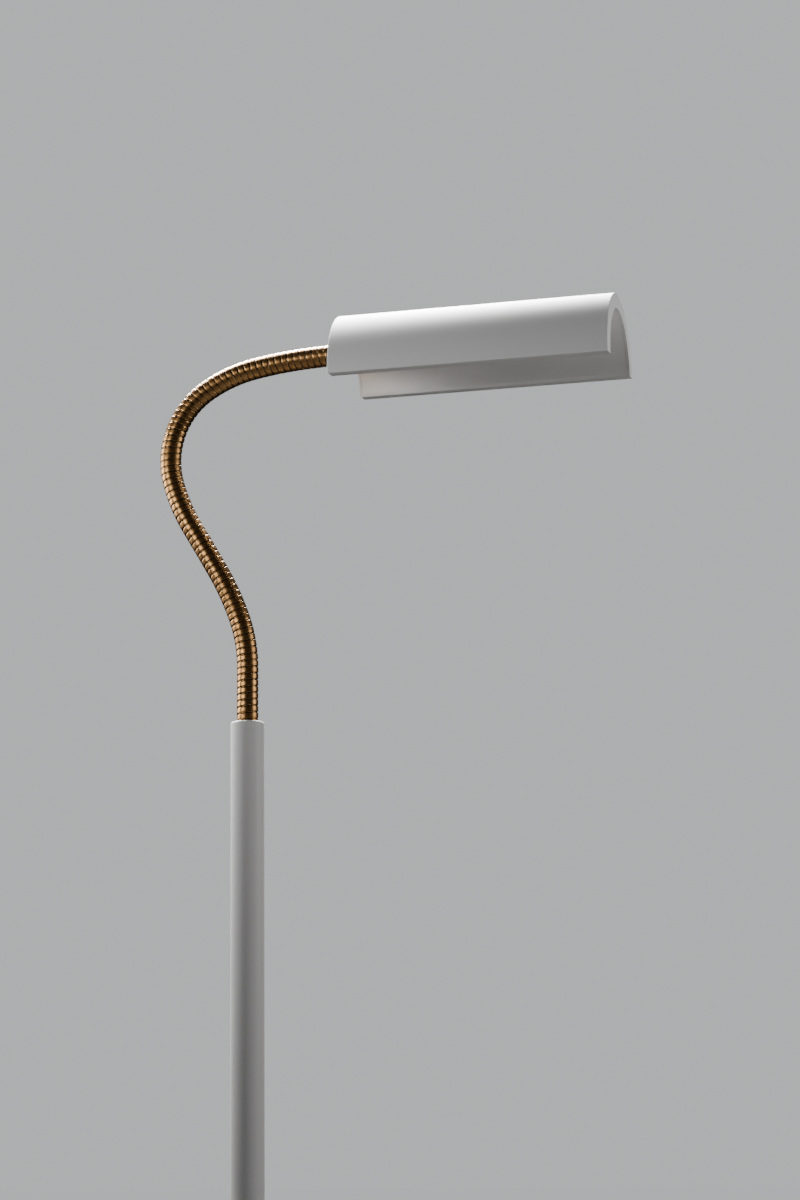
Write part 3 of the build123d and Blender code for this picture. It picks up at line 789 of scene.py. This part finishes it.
# ------------------------------------------------------------------ the lamp
@dataclass
class Neck:
    """The wound neck: a wide outer strip over a round wire, in pieces that each cross one joint."""

    line: NeckLine
    radius: float = 8.0 * MM
    pitch: float = 4.88 * MM
    strip_width: float = 4.05 * MM
    strip_depth: float = 1.6 * MM
    crown: float = 0.05 * MM
    crown_share: float = 0.55
    shoulder: float = 0.22 * MM
    shoulder_share: Point = (0.3, 0.7)
    flank_share: Point = (0.7, 0.9)
    groove_share: float = 1.5
    wire_radius: float = 1.3 * MM
    wire_sink: float = 0.55 * MM
    steps: int = 36
    hidden_in_post: float = 6.0 * MM
    hidden_in_head: float = 5.0 * MM
    blend_margin: float = 4.0 * MM
    smooth_angle: float = 50.0

    def strip_outline(self) -> list[Point]:
        """The strip's section, as (radius, along) points, with two faint crowns and rounded shoulders."""
        half, top = self.strip_width / 2, self.radius
        flat = half - self.shoulder
        valley = top - self.crown
        drop, step = (self.shoulder * share for share in self.shoulder_share)
        flank, tuck = self.flank_share
        right = [(valley, 0.0), (top, flat * self.crown_share), (valley, flat), (valley - drop, flat + step),
                 (valley - self.shoulder, half), (top - self.strip_depth * flank, half * tuck)]
        left = [(radius, -along) for radius, along in right[:0:-1]]
        return left + right + [(top - self.strip_depth, 0.0)]

    def wire_outline(self) -> list[Point]:
        """The round wire's section, which lies half a pitch along from the strip's."""
        centre = (self.radius - self.wire_sink - self.wire_radius, self.pitch / 2)
        return ring(centre, self.wire_radius)

    def one_turn(self) -> bpy.types.Mesh:
        """Winds one turn of the strip and the wire about +Z, open at both ends.

        Returns:
            The turn's mesh, which starts at a height of zero.
        """
        turn = bmesh.new()
        for outline in (self.strip_outline(), self.wire_outline()):
            corners = [turn.verts.new((radius, 0.0, along)) for radius, along in outline]
            edges = [turn.edges.new(pair) for pair in zip(corners, corners[1:] + corners[:1])]
            bmesh.ops.spin(turn, geom=corners + edges, cent=(0, 0, 0), axis=(0, 0, 1), angle=FULL_TURN,
                           dvec=(0, 0, self.pitch / self.steps), steps=self.steps, use_merge=False,
                           use_duplicate=False)
        bmesh.ops.recalc_face_normals(turn, faces=turn.faces)
        data = bpy.data.meshes.new("one_turn")
        turn.to_mesh(data)
        turn.free()
        return data

    def wind(self, turn: bpy.types.Mesh, first: int, last: int) -> bmesh.types.BMesh:
        """Stacks whole turns into one closed winding.

        Args:
            turn: One turn's mesh.
            first: The number of the first turn from the post's rim.
            last: The number after the last turn.

        Returns:
            The straight winding.
        """
        mesh = bmesh.new()
        for number in range(first, last):
            before = len(mesh.verts)
            mesh.from_mesh(turn)
            mesh.verts.ensure_lookup_table()
            bmesh.ops.translate(mesh, verts=mesh.verts[before:], vec=(0, 0, number * self.pitch))
        bmesh.ops.remove_doubles(mesh, verts=mesh.verts, dist=NEAR)
        bmesh.ops.holes_fill(mesh, edges=[edge for edge in mesh.edges if edge.is_boundary], sides=0)
        return mesh

    def follow(self, mesh: bmesh.types.BMesh) -> None:
        """Bends a straight winding onto the neck's line, and notes each point's height and straight place.

        Args:
            mesh: The winding, which stands on +Z.
        """
        crown = mesh.verts.layers.float.new("crown")
        straight = mesh.verts.layers.float_vector.new("straight")
        groove = self.radius - self.wire_sink * self.groove_share
        for vertex in mesh.verts:
            spot = vertex.co.copy()
            height = math.hypot(spot.x, spot.y)
            vertex[crown] = min(max((height - groove) / (self.radius - groove), 0.0), 1.0)
            vertex[straight] = (spot.x, spot.y, spot.z)
            point, _, across = self.line.at(spot.z)
            vertex.co = point + across * spot.x + Vector((0.0, spot.y, 0.0))

    def make(self, paint: Paintbox) -> None:
        """Makes the windings, one per joint, from the middle of a link to the middle of the next.

        Args:
            paint: Where the finish comes from.
        """
        joints = [joint for joint in frame["joints"] if joint["name"].startswith("neck_")]
        length, turn = self.line.length, self.one_turn()
        for number, joint in enumerate(joints, start=1):
            start = -self.hidden_in_post if number == 1 else (number - 0.5) * length
            end = self.line.total + self.hidden_in_head if number == len(joints) else (number + 0.5) * length
            mesh = self.wind(turn, round(start / self.pitch), round(end / self.pitch))
            self.follow(mesh)
            piece = Maker.finish(f"neck_winding_{number:02d}", mesh, smooth_angle=self.smooth_angle)
            paint.dress(piece, "neck_metal")
            low, _, _ = self.line.at((number - 0.5) * length + self.blend_margin)
            high, _, _ = self.line.at((number + 0.5) * length - self.blend_margin)
            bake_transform(piece)
            stood_for = [f"neck_link_{number:02d}"]
            if number == len(joints):
                stood_for.append(f"neck_link_{number + 1:02d}")
            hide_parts(*stood_for)
            log.info("wound %s across %s", piece.name, joint["name"])
        bpy.data.meshes.remove(turn)


@dataclass
class Post:
    """The painted tube, and what holds the neck in it."""

    wall: float = 2.0 * MM
    rim_radius: float = 1.8 * MM
    rim_steps: int = 10
    ferrule_gap: float = 0.05 * MM
    ferrule_edge: float = 0.4 * MM
    screw_gap: float = 0.05 * MM
    screw_edge: float = 0.3 * MM
    drill_walls: int = 4
    steps: int = 128

    def tube(self, paint: Paintbox) -> None:
        """Makes the tube with its rounded rim and the set screw's hole.

        Args:
            paint: Where the finish comes from.
        """
        low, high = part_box("post_tube")
        radius = high.y
        rim = (radius - self.rim_radius, high.z - self.rim_radius)
        outline = [(radius - self.wall, low.z), (radius, low.z),
                   *arc(rim, self.rim_radius, 0, 90, self.rim_steps), (radius - self.wall, high.z)]
        piece = Maker.finish("post_tube_painted", Maker.lathe(outline, self.steps))
        screw_low, screw_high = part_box("ferrule_set_screw")
        across = Matrix.Translation((screw_low + screw_high) / 2) @ Matrix.Rotation(math.radians(-90), 4, "X")
        hole = (screw_high.z - screw_low.z) / 2 + self.screw_gap
        Maker.cut(piece, [Maker.plug(hole, self.wall * self.drill_walls, across)])
        Maker.finish_mesh(piece)
        paint.settle(piece, "post_paint", Body.STAND, "post_tube")

    def ferrule(self, paint: Paintbox) -> None:
        """Makes the brass ferrule that the neck stands in.

        Args:
            paint: Where the finish comes from.
        """
        low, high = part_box("neck_lower_ferrule")
        radius, edge = high.y, self.ferrule_edge
        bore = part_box("neck_link_01")[1].y + self.ferrule_gap
        outline = [(radius, low.z), *arc((radius - edge, high.z - edge), edge, 0, 90, 3),
                   *arc((bore + edge, high.z - edge), edge, 90, 180, 3), (bore, low.z)]
        piece = Maker.finish("neck_ferrule", Maker.lathe(outline, self.steps))
        paint.settle(piece, "ferrule_brass", Body.STAND, "neck_lower_ferrule")

    def set_screw(self, paint: Paintbox) -> None:
        """Makes the set screw at the back of the tube.

        Args:
            paint: Where the finish comes from.
        """
        low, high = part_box("ferrule_set_screw")
        radius = (high.z - low.z) / 2
        screw = SocketScrew(head_radius=radius, head_height=(high.y - low.y) / 2, shank_radius=radius,
                            length=(high.y - low.y) / 2, edge=self.screw_edge)
        mesh = screw.shape()
        level = (low.z + high.z) / 2
        place = Matrix.Translation((0, high.y, level)) @ Matrix.Rotation(math.radians(90), 4, "X")
        Maker.move(mesh, place)
        piece = Maker.finish("set_screw", mesh)
        paint.settle(piece, "dark_steel", Body.STAND, "ferrule_set_screw")

    def make(self, paint: Paintbox) -> None:
        """Makes the post's visible pieces.

        Args:
            paint: Where the finishes come from.
        """
        self.tube(paint)
        self.ferrule(paint)
        self.set_screw(paint)


@dataclass
class Shade:
    """The half-pipe shade: a thick outer shell with a lining let into it."""

    head: HeadFrame
    depth: float = 11.1 * MM
    lining_wall: float = 1.5 * MM
    rim: float = 2.0 * MM
    seam: float = 0.1 * MM
    corner: float = 3.0 * MM
    bevel: float = 0.55 * MM
    lining_edge: float = 0.15 * MM
    corner_share: float = 0.9
    outline_slack: float = 0.2 * MM
    hard_turn: float = 50.0
    facing: float = 0.5
    steps: int = 96

    def shell(self) -> bmesh.types.BMesh:
        """Makes the shell, closed all round, with a recess for the lining."""
        outer, inner = self.head.radius, self.head.radius - self.depth
        outline = arc((0, 0), outer, 0, 180, self.steps) + arc((0, 0), inner, 180, 0, self.steps)
        mesh = Maker.bar(outline, 0, self.head.length)
        self.round_corners(mesh)
        Maker.bevel(mesh, self.outside_edge, self.bevel, 4)
        self.recess(mesh, inner)
        return mesh

    def round_corners(self, mesh: bmesh.types.BMesh) -> None:
        """Rounds the two lower corners at the neck end.

        Args:
            mesh: The plain shell.
        """
        def corner(edge: bmesh.types.BMEdge) -> bool:
            """Whether an edge crosses the wall's foot at the neck end."""
            middle = (edge.verts[0].co + edge.verts[1].co) / 2
            across = edge.calc_length() > self.depth * self.corner_share
            return middle.x < NEAR and abs(middle.z) < NEAR and across
        Maker.bevel(mesh, corner, self.corner, 8)

    def outside_edge(self, edge: bmesh.types.BMEdge) -> bool:
        """Whether an edge runs round the shell's outer outline."""
        on_face = all(abs(math.hypot(v.co.y, v.co.z) - self.head.radius) < self.outline_slack
                      for v in edge.verts)
        return on_face and Maker.sharp(self.hard_turn)(edge)

    def recess(self, mesh: bmesh.types.BMesh, inner: float) -> None:
        """Lets the inner face in, inside a rim, by the lining's thickness.

        Args:
            mesh: The shell.
            inner: The inner face's radius.
        """
        faces = [face for face in mesh.faces
                 if all(abs(math.hypot(v.co.y, v.co.z) - inner) < ON_FACE for v in face.verts)
                 and abs(face.normal.x) < self.facing
                 and abs(face.normal.z) + abs(face.normal.y) > self.facing and len(face.verts) == 4]
        bmesh.ops.inset_region(mesh, faces=faces, thickness=self.rim, depth=0.0, use_boundary=True,
                               use_even_offset=True)
        made = bmesh.ops.extrude_face_region(mesh, geom=faces)
        moved = [item for item in made["geom"] if isinstance(item, bmesh.types.BMVert)]
        bmesh.ops.delete(mesh, geom=faces, context="FACES")
        grown = (inner + self.lining_wall) / inner
        bmesh.ops.scale(mesh, verts=moved, vec=(1.0, grown, grown))

    def lining(self) -> bmesh.types.BMesh:
        """Makes the thin lining between the shell's rims."""
        inner = self.head.radius - self.depth
        lift = math.degrees(math.asin((self.rim + self.seam) / inner))
        outline = (arc((0, 0), inner + self.lining_wall - self.seam, lift, 180 - lift, self.steps)
                   + arc((0, 0), inner, 180 - lift, lift, self.steps))
        mesh = Maker.bar(outline, self.rim + self.seam, self.head.length - self.rim - self.seam)
        Maker.bevel(mesh, Maker.sharp(self.hard_turn), self.lining_edge, 2)
        return mesh

    def make(self, paint: Paintbox) -> None:
        """Makes the shell and its lining.

        Args:
            paint: Where the finish comes from.
        """
        for name, node, slot, mesh in (("shade_shell", "shade_outer_shell", "shade_paint", self.shell()),
                                       ("shade_lining", "shade_liner", "liner_paint", self.lining())):
            Maker.move(mesh, self.head.place)
            piece = Maker.finish(name, mesh)
            paint.settle(piece, slot, Body.HEAD, node)


@dataclass
class HeadFittings:
    """What the shade holds: the lens, its outer end cap and the screws that show from below."""

    head: HeadFrame
    lens_wall: float = 1.4 * MM
    lens_edge: float = 3.0 * MM
    cap_edge: float = 0.4 * MM
    cap_turn: float = 60.0
    screw_head_height: float = 2.0 * MM
    screw_head_radius: float = 2.75 * MM
    screw_shank_radius: float = 1.5 * MM

    def lens(self) -> bmesh.types.BMesh:
        """Makes the opal trough over the lamps.

        Returns:
            A closed bar with rounded lower edges.
        """
        low, high = self.head.span("lens_cover")
        outer, inner = high.y, high.y - self.lens_wall
        floor, edge = low.z, self.lens_edge
        small = edge - self.lens_wall
        outside = (arc((-outer + edge, floor + edge), edge, 180, 270, 8)
                   + arc((outer - edge, floor + edge), edge, 270, 360, 8))
        inside = (arc((inner - small, floor + self.lens_wall + small), small, 0, -90, 6)
                  + arc((-inner + small, floor + self.lens_wall + small), small, 270, 180, 6))
        outline = [(-outer, high.z), *outside, (outer, high.z), (inner, high.z), *inside, (-inner, high.z)]
        return Maker.bar(outline, low.x, high.x)

    def cap(self, node: str) -> bmesh.types.BMesh:
        """Makes an end cap whose top follows the lining.

        Args:
            node: The CAD cap it stands for.

        Returns:
            The cap, with softened edges.
        """
        low, high = self.head.span(node)
        crown, edge = high.z, self.lens_edge
        lean = math.degrees(math.asin(high.y / crown))
        outline = (arc((0, 0), crown, 90 - lean, 90 + lean, 12)
                   + arc((low.y + edge, low.z + edge), edge, 180, 270, 8)
                   + arc((high.y - edge, low.z + edge), edge, 270, 360, 8))
        mesh = Maker.bar(outline, low.x, high.x)
        Maker.bevel(mesh, Maker.sharp(self.cap_turn), self.cap_edge, 2)
        return mesh

    def make(self, paint: Paintbox) -> None:
        """Makes the fittings.

        Args:
            paint: Where the finishes come from.
        """
        shapes = [("lens_trough", "lens_cover", "opal_lens", self.lens()),
                  ("lens_cap_outer", "bar_cap_outer", "cap_plastic", self.cap("bar_cap_outer"))]
        for name, node, slot, mesh in shapes:
            Maker.move(mesh, self.head.place)
            piece = Maker.finish(name, mesh)
            paint.settle(piece, slot, Body.HEAD, node)
        self.screws(paint)

    def screws(self, paint: Paintbox) -> None:
        """Makes the socket-headed screws that hold the saddle.

        Args:
            paint: Where the finish comes from.
        """
        low, high = self.head.span("saddle_screws")
        screw = SocketScrew(head_height=self.screw_head_height, head_radius=self.screw_head_radius,
                            shank_radius=self.screw_shank_radius,
                            length=high.z - low.z - self.screw_head_height)
        places = [Vector((x, (low.y + high.y) / 2, low.z)) for x in
                  (low.x + screw.head_radius, high.x - screw.head_radius)]
        for number, place in enumerate(places, start=1):
            mesh = screw.shape()
            Maker.move(mesh, self.head.place @ Matrix.Translation(place))
            piece = Maker.finish(f"saddle_screw_{number}", mesh)
            paint.settle(piece, "dark_steel", Body.HEAD, "saddle_screws")


@dataclass
class SocketScrew:
    """A screw that points up, with a hexagon socket in its head."""

    head_radius: float
    head_height: float
    shank_radius: float
    length: float
    socket_flats: float = 2.0 * MM
    socket_slack: float = 1.01
    socket_share: float = 0.65
    edge: float = 0.5 * MM
    steps: int = 36

    def shape(self) -> bmesh.types.BMesh:
        """Makes the screw from its outline and sinks its socket.

        Returns:
            The screw, whose head's face lies at the origin.
        """
        head, top = self.head_radius, self.head_height
        socket = self.socket_flats / math.sqrt(3)
        outline = [(0.0, 0.0), (socket, 0.0), *arc((head - self.edge, self.edge), self.edge, 270, 360, 5),
                   (head, top), (self.shank_radius, top), (self.shank_radius, top + self.length),
                   (0.0, top + self.length)]
        mesh = Maker.lathe(outline, self.steps, closed=False)
        centre = [face for face in mesh.faces if face.calc_center_median().z < WELD
                  and all(math.hypot(v.co.x, v.co.y) < socket * self.socket_slack for v in face.verts)]
        bmesh.ops.dissolve_faces(mesh, faces=centre)
        mesh.faces.ensure_lookup_table()
        face = next(face for face in mesh.faces if len(face.verts) > self.steps / 2)
        for vertex in face.verts:
            angle = math.atan2(vertex.co.y, vertex.co.x) % (FULL_TURN / 6) - FULL_TURN / 12
            reach = self.socket_flats / 2 / math.cos(angle)
            vertex.co.xy = vertex.co.xy.normalized() * reach
        made = bmesh.ops.extrude_face_region(mesh, geom=[face])
        bmesh.ops.delete(mesh, geom=[face], context="FACES")
        deep = [item for item in made["geom"] if isinstance(item, bmesh.types.BMVert)]
        bmesh.ops.translate(mesh, verts=deep, vec=(0, 0, top * self.socket_share))
        return mesh


@dataclass
class Base:
    """The round base, its pad, the foot button and the cable inlet."""

    edge_radius: float = 5.0 * MM
    skin: float = 2.0 * MM
    hole_gap: float = 0.3 * MM
    inlet_gap: float = hole_gap / 3
    button_cut: float = edge_radius * 2
    inlet_cut: float = edge_radius * 3
    rolled_edge: float = 0.4 * MM
    pad_edge: float = 0.6 * MM
    button_edge: float = 2.0 * MM
    button_dish: float = 0.7 * MM
    button_stem: float = 3.0 * MM
    button_steps: int = 96
    flange_drops: Point = (1.6 * MM, 0.1 * MM)
    button_rings: int = 4
    ring_depth: float = 0.25 * MM
    ring_span: float = 0.8
    ring_start: float = 0.92
    ring_shares: tuple[float, float, float] = (0.15, 0.35, 0.5)
    spring_wire: float = 0.8 * MM
    spring_coils: float = 2.5
    spring_steps: int = 80
    inlet_bore: float = 3.3 * MM
    inlet_edge: float = 1.2 * MM
    inlet_steps: int = 64
    steps: int = 192

    def cover(self, paint: Paintbox) -> None:
        """Makes the painted cover with its holes.

        Args:
            paint: Where the finish comes from.
        """
        low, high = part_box("base_shell")
        radius, top = high.y, high.z
        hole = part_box("post_tube")[1].y + self.hole_gap
        inner, small, roll = radius - self.skin, self.edge_radius - self.skin, self.rolled_edge
        outline = [*arc((radius - roll, low.z + roll), roll, 270, 360, 4),
                   *arc((radius - self.edge_radius, top - self.edge_radius), self.edge_radius, 0, 90, 12),
                   *arc((hole + roll, top - roll), roll, 90, 180, 4), (hole, top - self.skin),
                   *arc((inner - small, top - self.skin - small), small, 90, 0, 6), (inner, low.z)]
        piece = Maker.finish("base_cover", Maker.lathe(outline, self.steps))
        button_low, button_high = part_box("foot_switch_button")
        centre = (button_low + button_high) / 2
        opening = button_top_radius() + self.hole_gap
        inlet_low, inlet_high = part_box("cable_inlet_bush")
        inlet = Vector((-radius, 0.0, (inlet_low.z + inlet_high.z) / 2))
        upright = Matrix.Translation((centre.x, centre.y, top))
        level = Matrix.Translation(inlet) @ Matrix.Rotation(math.radians(90), 4, "Y")
        Maker.cut(piece, [Maker.plug(opening, self.button_cut, upright),
                          Maker.plug(inlet_body_radius() + self.inlet_gap, self.inlet_cut, level)])
        Maker.finish_mesh(piece)
        paint.settle(piece, "base_paint", Body.STAND, "base_shell")

    def pad(self, paint: Paintbox) -> None:
        """Makes the foam pad under the base.

        Args:
            paint: Where the finish comes from.
        """
        low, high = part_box("base_pad")
        radius, edge = high.y, self.pad_edge
        outline = [(0.0, low.z), *arc((radius - edge, low.z + edge), edge, 270, 360, 4), (radius, high.z),
                   (0.0, high.z)]
        piece = Maker.finish("floor_pad", Maker.lathe(outline, self.steps, closed=False))
        paint.settle(piece, "pad_rubber", Body.STAND, "base_pad")

    def button(self, paint: Paintbox) -> None:
        """Makes the foot button, with a dished and ringed top.

        Args:
            paint: Where the finish comes from.
        """
        low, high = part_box("foot_switch_button")
        flange, radius = (high.y - low.y) / 2, button_top_radius()
        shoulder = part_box("base_weight")[1].z
        stem, edge = self.button_stem, self.button_edge
        under, over = (shoulder - drop for drop in self.flange_drops)
        brim = radius - edge
        top = high.z
        outline = [(stem, low.z), (stem, under), (flange, under), (flange, over), (radius, over),
                   *arc((brim, top - edge), edge, 0, 90, 8)]
        gap = brim * self.ring_span / self.button_rings
        for number in range(self.button_rings):
            outside = brim * self.ring_start - number * gap
            level = top - self.button_dish * (1 - (outside / brim) ** 2)
            slope, floor, end = (outside - gap * share for share in self.ring_shares)
            outline += [(outside, level), (slope, level - self.ring_depth), (floor, level - self.ring_depth),
                        (end, level)]
        outline += [(0.0, top - self.button_dish), (0.0, low.z)]
        mesh = Maker.lathe(outline, self.button_steps)
        Maker.move(mesh, Matrix.Translation(((low.x + high.x) / 2, (low.y + high.y) / 2, 0)))
        piece = Maker.finish("foot_button", mesh)
        paint.settle(piece, "ferrule_brass", Body.FOOT_SWITCH, "foot_switch_button")

    def spring(self, paint: Paintbox) -> None:
        """Winds the button's return spring.

        Args:
            paint: Where the finish comes from.
        """
        low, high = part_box("foot_switch_spring")
        wire = self.spring_wire / 2
        radius = (high.y - low.y) / 2 - wire
        rise = (high.z - low.z) - 2 * wire
        mesh = bmesh.new()
        corners = [mesh.verts.new((across, 0.0, height)) for across, height in ring((radius, wire), wire)]
        edges = [mesh.edges.new(pair) for pair in zip(corners, corners[1:] + corners[:1])]
        bmesh.ops.spin(mesh, geom=corners + edges, cent=(0, 0, 0), axis=(0, 0, 1),
                       angle=FULL_TURN * self.spring_coils, dvec=(0, 0, rise / self.spring_steps),
                       steps=self.spring_steps, use_merge=False, use_duplicate=False)
        bmesh.ops.holes_fill(mesh, edges=[edge for edge in mesh.edges if edge.is_boundary], sides=0)
        bmesh.ops.recalc_face_normals(mesh, faces=mesh.faces)
        centre = (low + high) / 2
        Maker.move(mesh, Matrix.Translation((centre.x, centre.y, low.z)))
        piece = Maker.finish("foot_spring", mesh)
        paint.dress(piece, "dark_steel")
        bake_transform(piece)
        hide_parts("foot_switch_spring")
        log.info("wound %s", piece.name)

    def inlet(self, paint: Paintbox) -> None:
        """Makes the rubber bush where the cable would enter.

        Args:
            paint: Where the finish comes from.
        """
        low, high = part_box("cable_inlet_bush")
        flange, body = (high.y - low.y) / 2, inlet_body_radius()
        bore, edge = self.inlet_bore, self.inlet_edge
        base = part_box("base_shell")[0].x - low.x
        lip = edge / 2
        depth = high.x - low.x
        outline = [*arc((flange - edge, edge), edge, 270, 360, 6), (flange, base), (body, base),
                   (body, depth), (bore, depth), (bore, lip), *arc((bore + lip, lip), lip, 180, 270, 4)]
        mesh = Maker.lathe(outline, self.inlet_steps)
        turn = Matrix.Rotation(math.radians(90), 4, "Y")
        Maker.move(mesh, Matrix.Translation((low.x, 0, (low.z + high.z) / 2)) @ turn)
        piece = Maker.finish("inlet_bush", mesh)
        paint.settle(piece, "black_plastic", Body.STAND, "cable_inlet_bush")

    def make(self, paint: Paintbox) -> None:
        """Makes the base's visible pieces.

        Args:
            paint: Where the finishes come from.
        """
        self.cover(paint)
        self.pad(paint)
        self.button(paint)
        self.spring(paint)
        self.inlet(paint)


def ring_radius(node: str, axis: int, level: float) -> float:
    """Finds how far a CAD node reaches from its own axis at one level.

    Args:
        node: The node's name.
        axis: 0 or 2, for a node turned about X or Z.
        level: The place along that axis.

    Returns:
        The largest radius there.
    """
    low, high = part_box(node)
    middle = (low + high) / 2
    others = [number for number in range(3) if number != axis]
    spots = [v.co for v in frame["nodes"][node].data.vertices if abs(v.co[axis] - level) < LEVEL_SLACK]
    return max(math.hypot(*(spot[n] - middle[n] for n in others)) for spot in spots)


def button_top_radius() -> float:
    """The radius of the foot button where it leaves the base."""
    return ring_radius("foot_switch_button", 2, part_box("foot_switch_button")[1].z - BUTTON_SIDE)


def inlet_body_radius() -> float:
    """The radius of the inlet bush inside the base."""
    return ring_radius("cable_inlet_bush", 0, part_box("cable_inlet_bush")[1].x)


# ------------------------------------------------------------------ studio
@dataclass(frozen=True)
class SoftBox:
    """One soft box: where it hangs, what it points at, and its light."""

    name: str
    at_head: bool
    offset: tuple[float, float, float]
    size: Point
    power: float
    spread: float


SOFT_BOXES = (
    SoftBox("overhead_box", True, (-0.40, 0.66, 0.85), (1.0, 0.5), 54.0, 90.0),
    SoftBox("left_box", False, (-0.88, 0.06, 0.32), (0.6, 0.5), 8.0, 180.0),
    SoftBox("right_box", False, (0.97, 0.12, 0.25), (0.5, 0.5), 3.6, 180.0),
    SoftBox("left_key", True, (-0.86, -1.10, 0.03), (0.9, 0.4), 0.82, 50.0),
)


@dataclass
class Studio:
    """The camera, the lights and the floor."""

    distance: float = 2.1006
    bearing: float = 17.19
    drop: float = 0.3041
    azimuth: float = 14.08
    elevation: float = 10.67
    roll: float = -0.557
    lens: float = 85.62
    sensor: float = 36.0
    head_offset: tuple[float, float, float] = (0.15, 0.0, 0.26)
    felt_colour: tuple[float, float, float] = (0.93, 0.96, 1.0)
    felt_strength: float = 0.045
    floor_sides: int = 96
    floor_radius: float = 40.0
    floor_colour: tuple[float, float, float] = (0.14, 0.14, 0.14)
    floor_bounce: tuple[float, float, float] = (0.15, 0.15, 0.15)
    floor_glow: float = 0.97
    backdrop: tuple[float, float, float] = (0.55, 0.56, 0.57)

    def camera(self) -> None:
        """Sets the camera low in front of the lamp, looking up at its head."""
        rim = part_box("post_tube")[1].z
        bearing, azimuth = math.radians(self.bearing), math.radians(self.azimuth)
        elevation, roll = math.radians(self.elevation), math.radians(self.roll)
        place = Vector((math.sin(bearing) * self.distance, -math.cos(bearing) * self.distance,
                        rim - self.drop))
        forward = Vector((-math.sin(azimuth) * math.cos(elevation), math.cos(azimuth) * math.cos(elevation),
                          math.sin(elevation)))
        right = Vector((math.cos(azimuth), math.sin(azimuth), 0.0))
        up = right.cross(forward)
        tilted_right = right * math.cos(roll) + up * math.sin(roll)
        tilted_up = up * math.cos(roll) - right * math.sin(roll)
        data = bpy.data.cameras.new("studio_camera")
        data.lens = self.lens
        data.sensor_width = self.sensor
        camera = bpy.data.objects.new("studio_camera", data)
        bpy.context.scene.collection.objects.link(camera)
        turn = Matrix((tilted_right, tilted_up, -forward)).transposed()
        camera.matrix_world = Matrix.Translation(place) @ turn.to_4x4()
        bpy.context.scene.camera = camera

    def floor(self) -> None:
        """Lays a plain pale floor."""
        mesh = bmesh.new()
        bmesh.ops.create_circle(mesh, cap_ends=True, segments=self.floor_sides, radius=self.floor_radius)
        piece = Maker.finish("studio_floor", mesh)
        material = bpy.data.materials.new("pale_floor")
        material.use_nodes = True
        material.node_tree.nodes.clear()
        build = Nodes(material.node_tree)
        lit = build.add("BsdfDiffuse", None, Color=(*self.floor_bounce, 1.0))
        shown = build.add("BsdfDiffuse", None, Color=(*self.floor_colour, 1.0))
        glow = build.add("Emission", None, Color=(*self.backdrop, 1.0), Strength=self.floor_glow)
        both = build.add("AddShader")
        build.link(shown.outputs[0], both.inputs[0])
        build.link(glow.outputs[0], both.inputs[1])
        path = build.add("LightPath")
        mix = build.add("MixShader")
        build.link(path.outputs["Is Camera Ray"], mix.inputs["Fac"])
        build.link(lit.outputs[0], mix.inputs[1])
        build.link(both.outputs[0], mix.inputs[2])
        result = build.add("OutputMaterial")
        build.link(mix.outputs["Shader"], result.inputs["Surface"])
        piece.data.materials.append(material)

    def light(self, box: SoftBox) -> None:
        """Hangs one soft box.

        Args:
            box: What to hang.
        """
        rim = Vector((0.0, 0.0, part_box("post_tube")[1].z))
        target = rim + Vector(self.head_offset) if box.at_head else rim
        place = target + Vector(box.offset)
        data = bpy.data.lights.new(box.name, "AREA")
        data.shape = "RECTANGLE"
        data.size, data.size_y = box.size
        data.energy = box.power
        data.spread = math.radians(box.spread)
        lamp = bpy.data.objects.new(box.name, data)
        bpy.context.scene.collection.objects.link(lamp)
        lamp.location = place
        lamp.rotation_euler = (target - place).to_track_quat("-Z", "Y").to_euler()

    def lights(self) -> None:
        """Hangs the soft boxes and sets the soft surroundings."""
        for box in SOFT_BOXES:
            self.light(box)
        world = bpy.data.worlds.new("studio_world")
        bpy.context.scene.world = world
        world.use_nodes = True
        world.node_tree.nodes.clear()
        build = Nodes(world.node_tree)
        path = build.add("LightPath")
        seen = build.add("Background", None, Color=(*self.backdrop, 1.0), Strength=1.0)
        felt = build.add("Background", None, Color=(*self.felt_colour, 1.0), Strength=self.felt_strength)
        mix = build.add("MixShader")
        build.link(path.outputs["Is Camera Ray"], mix.inputs["Fac"])
        build.link(felt.outputs["Background"], mix.inputs[1])
        build.link(seen.outputs["Background"], mix.inputs[2])
        result = build.add("OutputWorld")
        build.link(mix.outputs["Shader"], result.inputs["Surface"])

    def make(self) -> None:
        """Sets up the whole studio."""
        self.floor()
        self.lights()


def main() -> None:
    """Makes the camera, the lamp's pieces and the studio, in order."""
    line = NeckLine.from_frame()
    head = HeadFrame.from_frame()
    studio = Studio()
    studio.camera()
    paint = Paintbox()
    paint.dress_cad()
    for assembly in (Neck(line), Post(), Shade(head), HeadFittings(head), Base()):
        assembly.make(paint)
    studio.make()


if __name__ == "__main__":
    main()
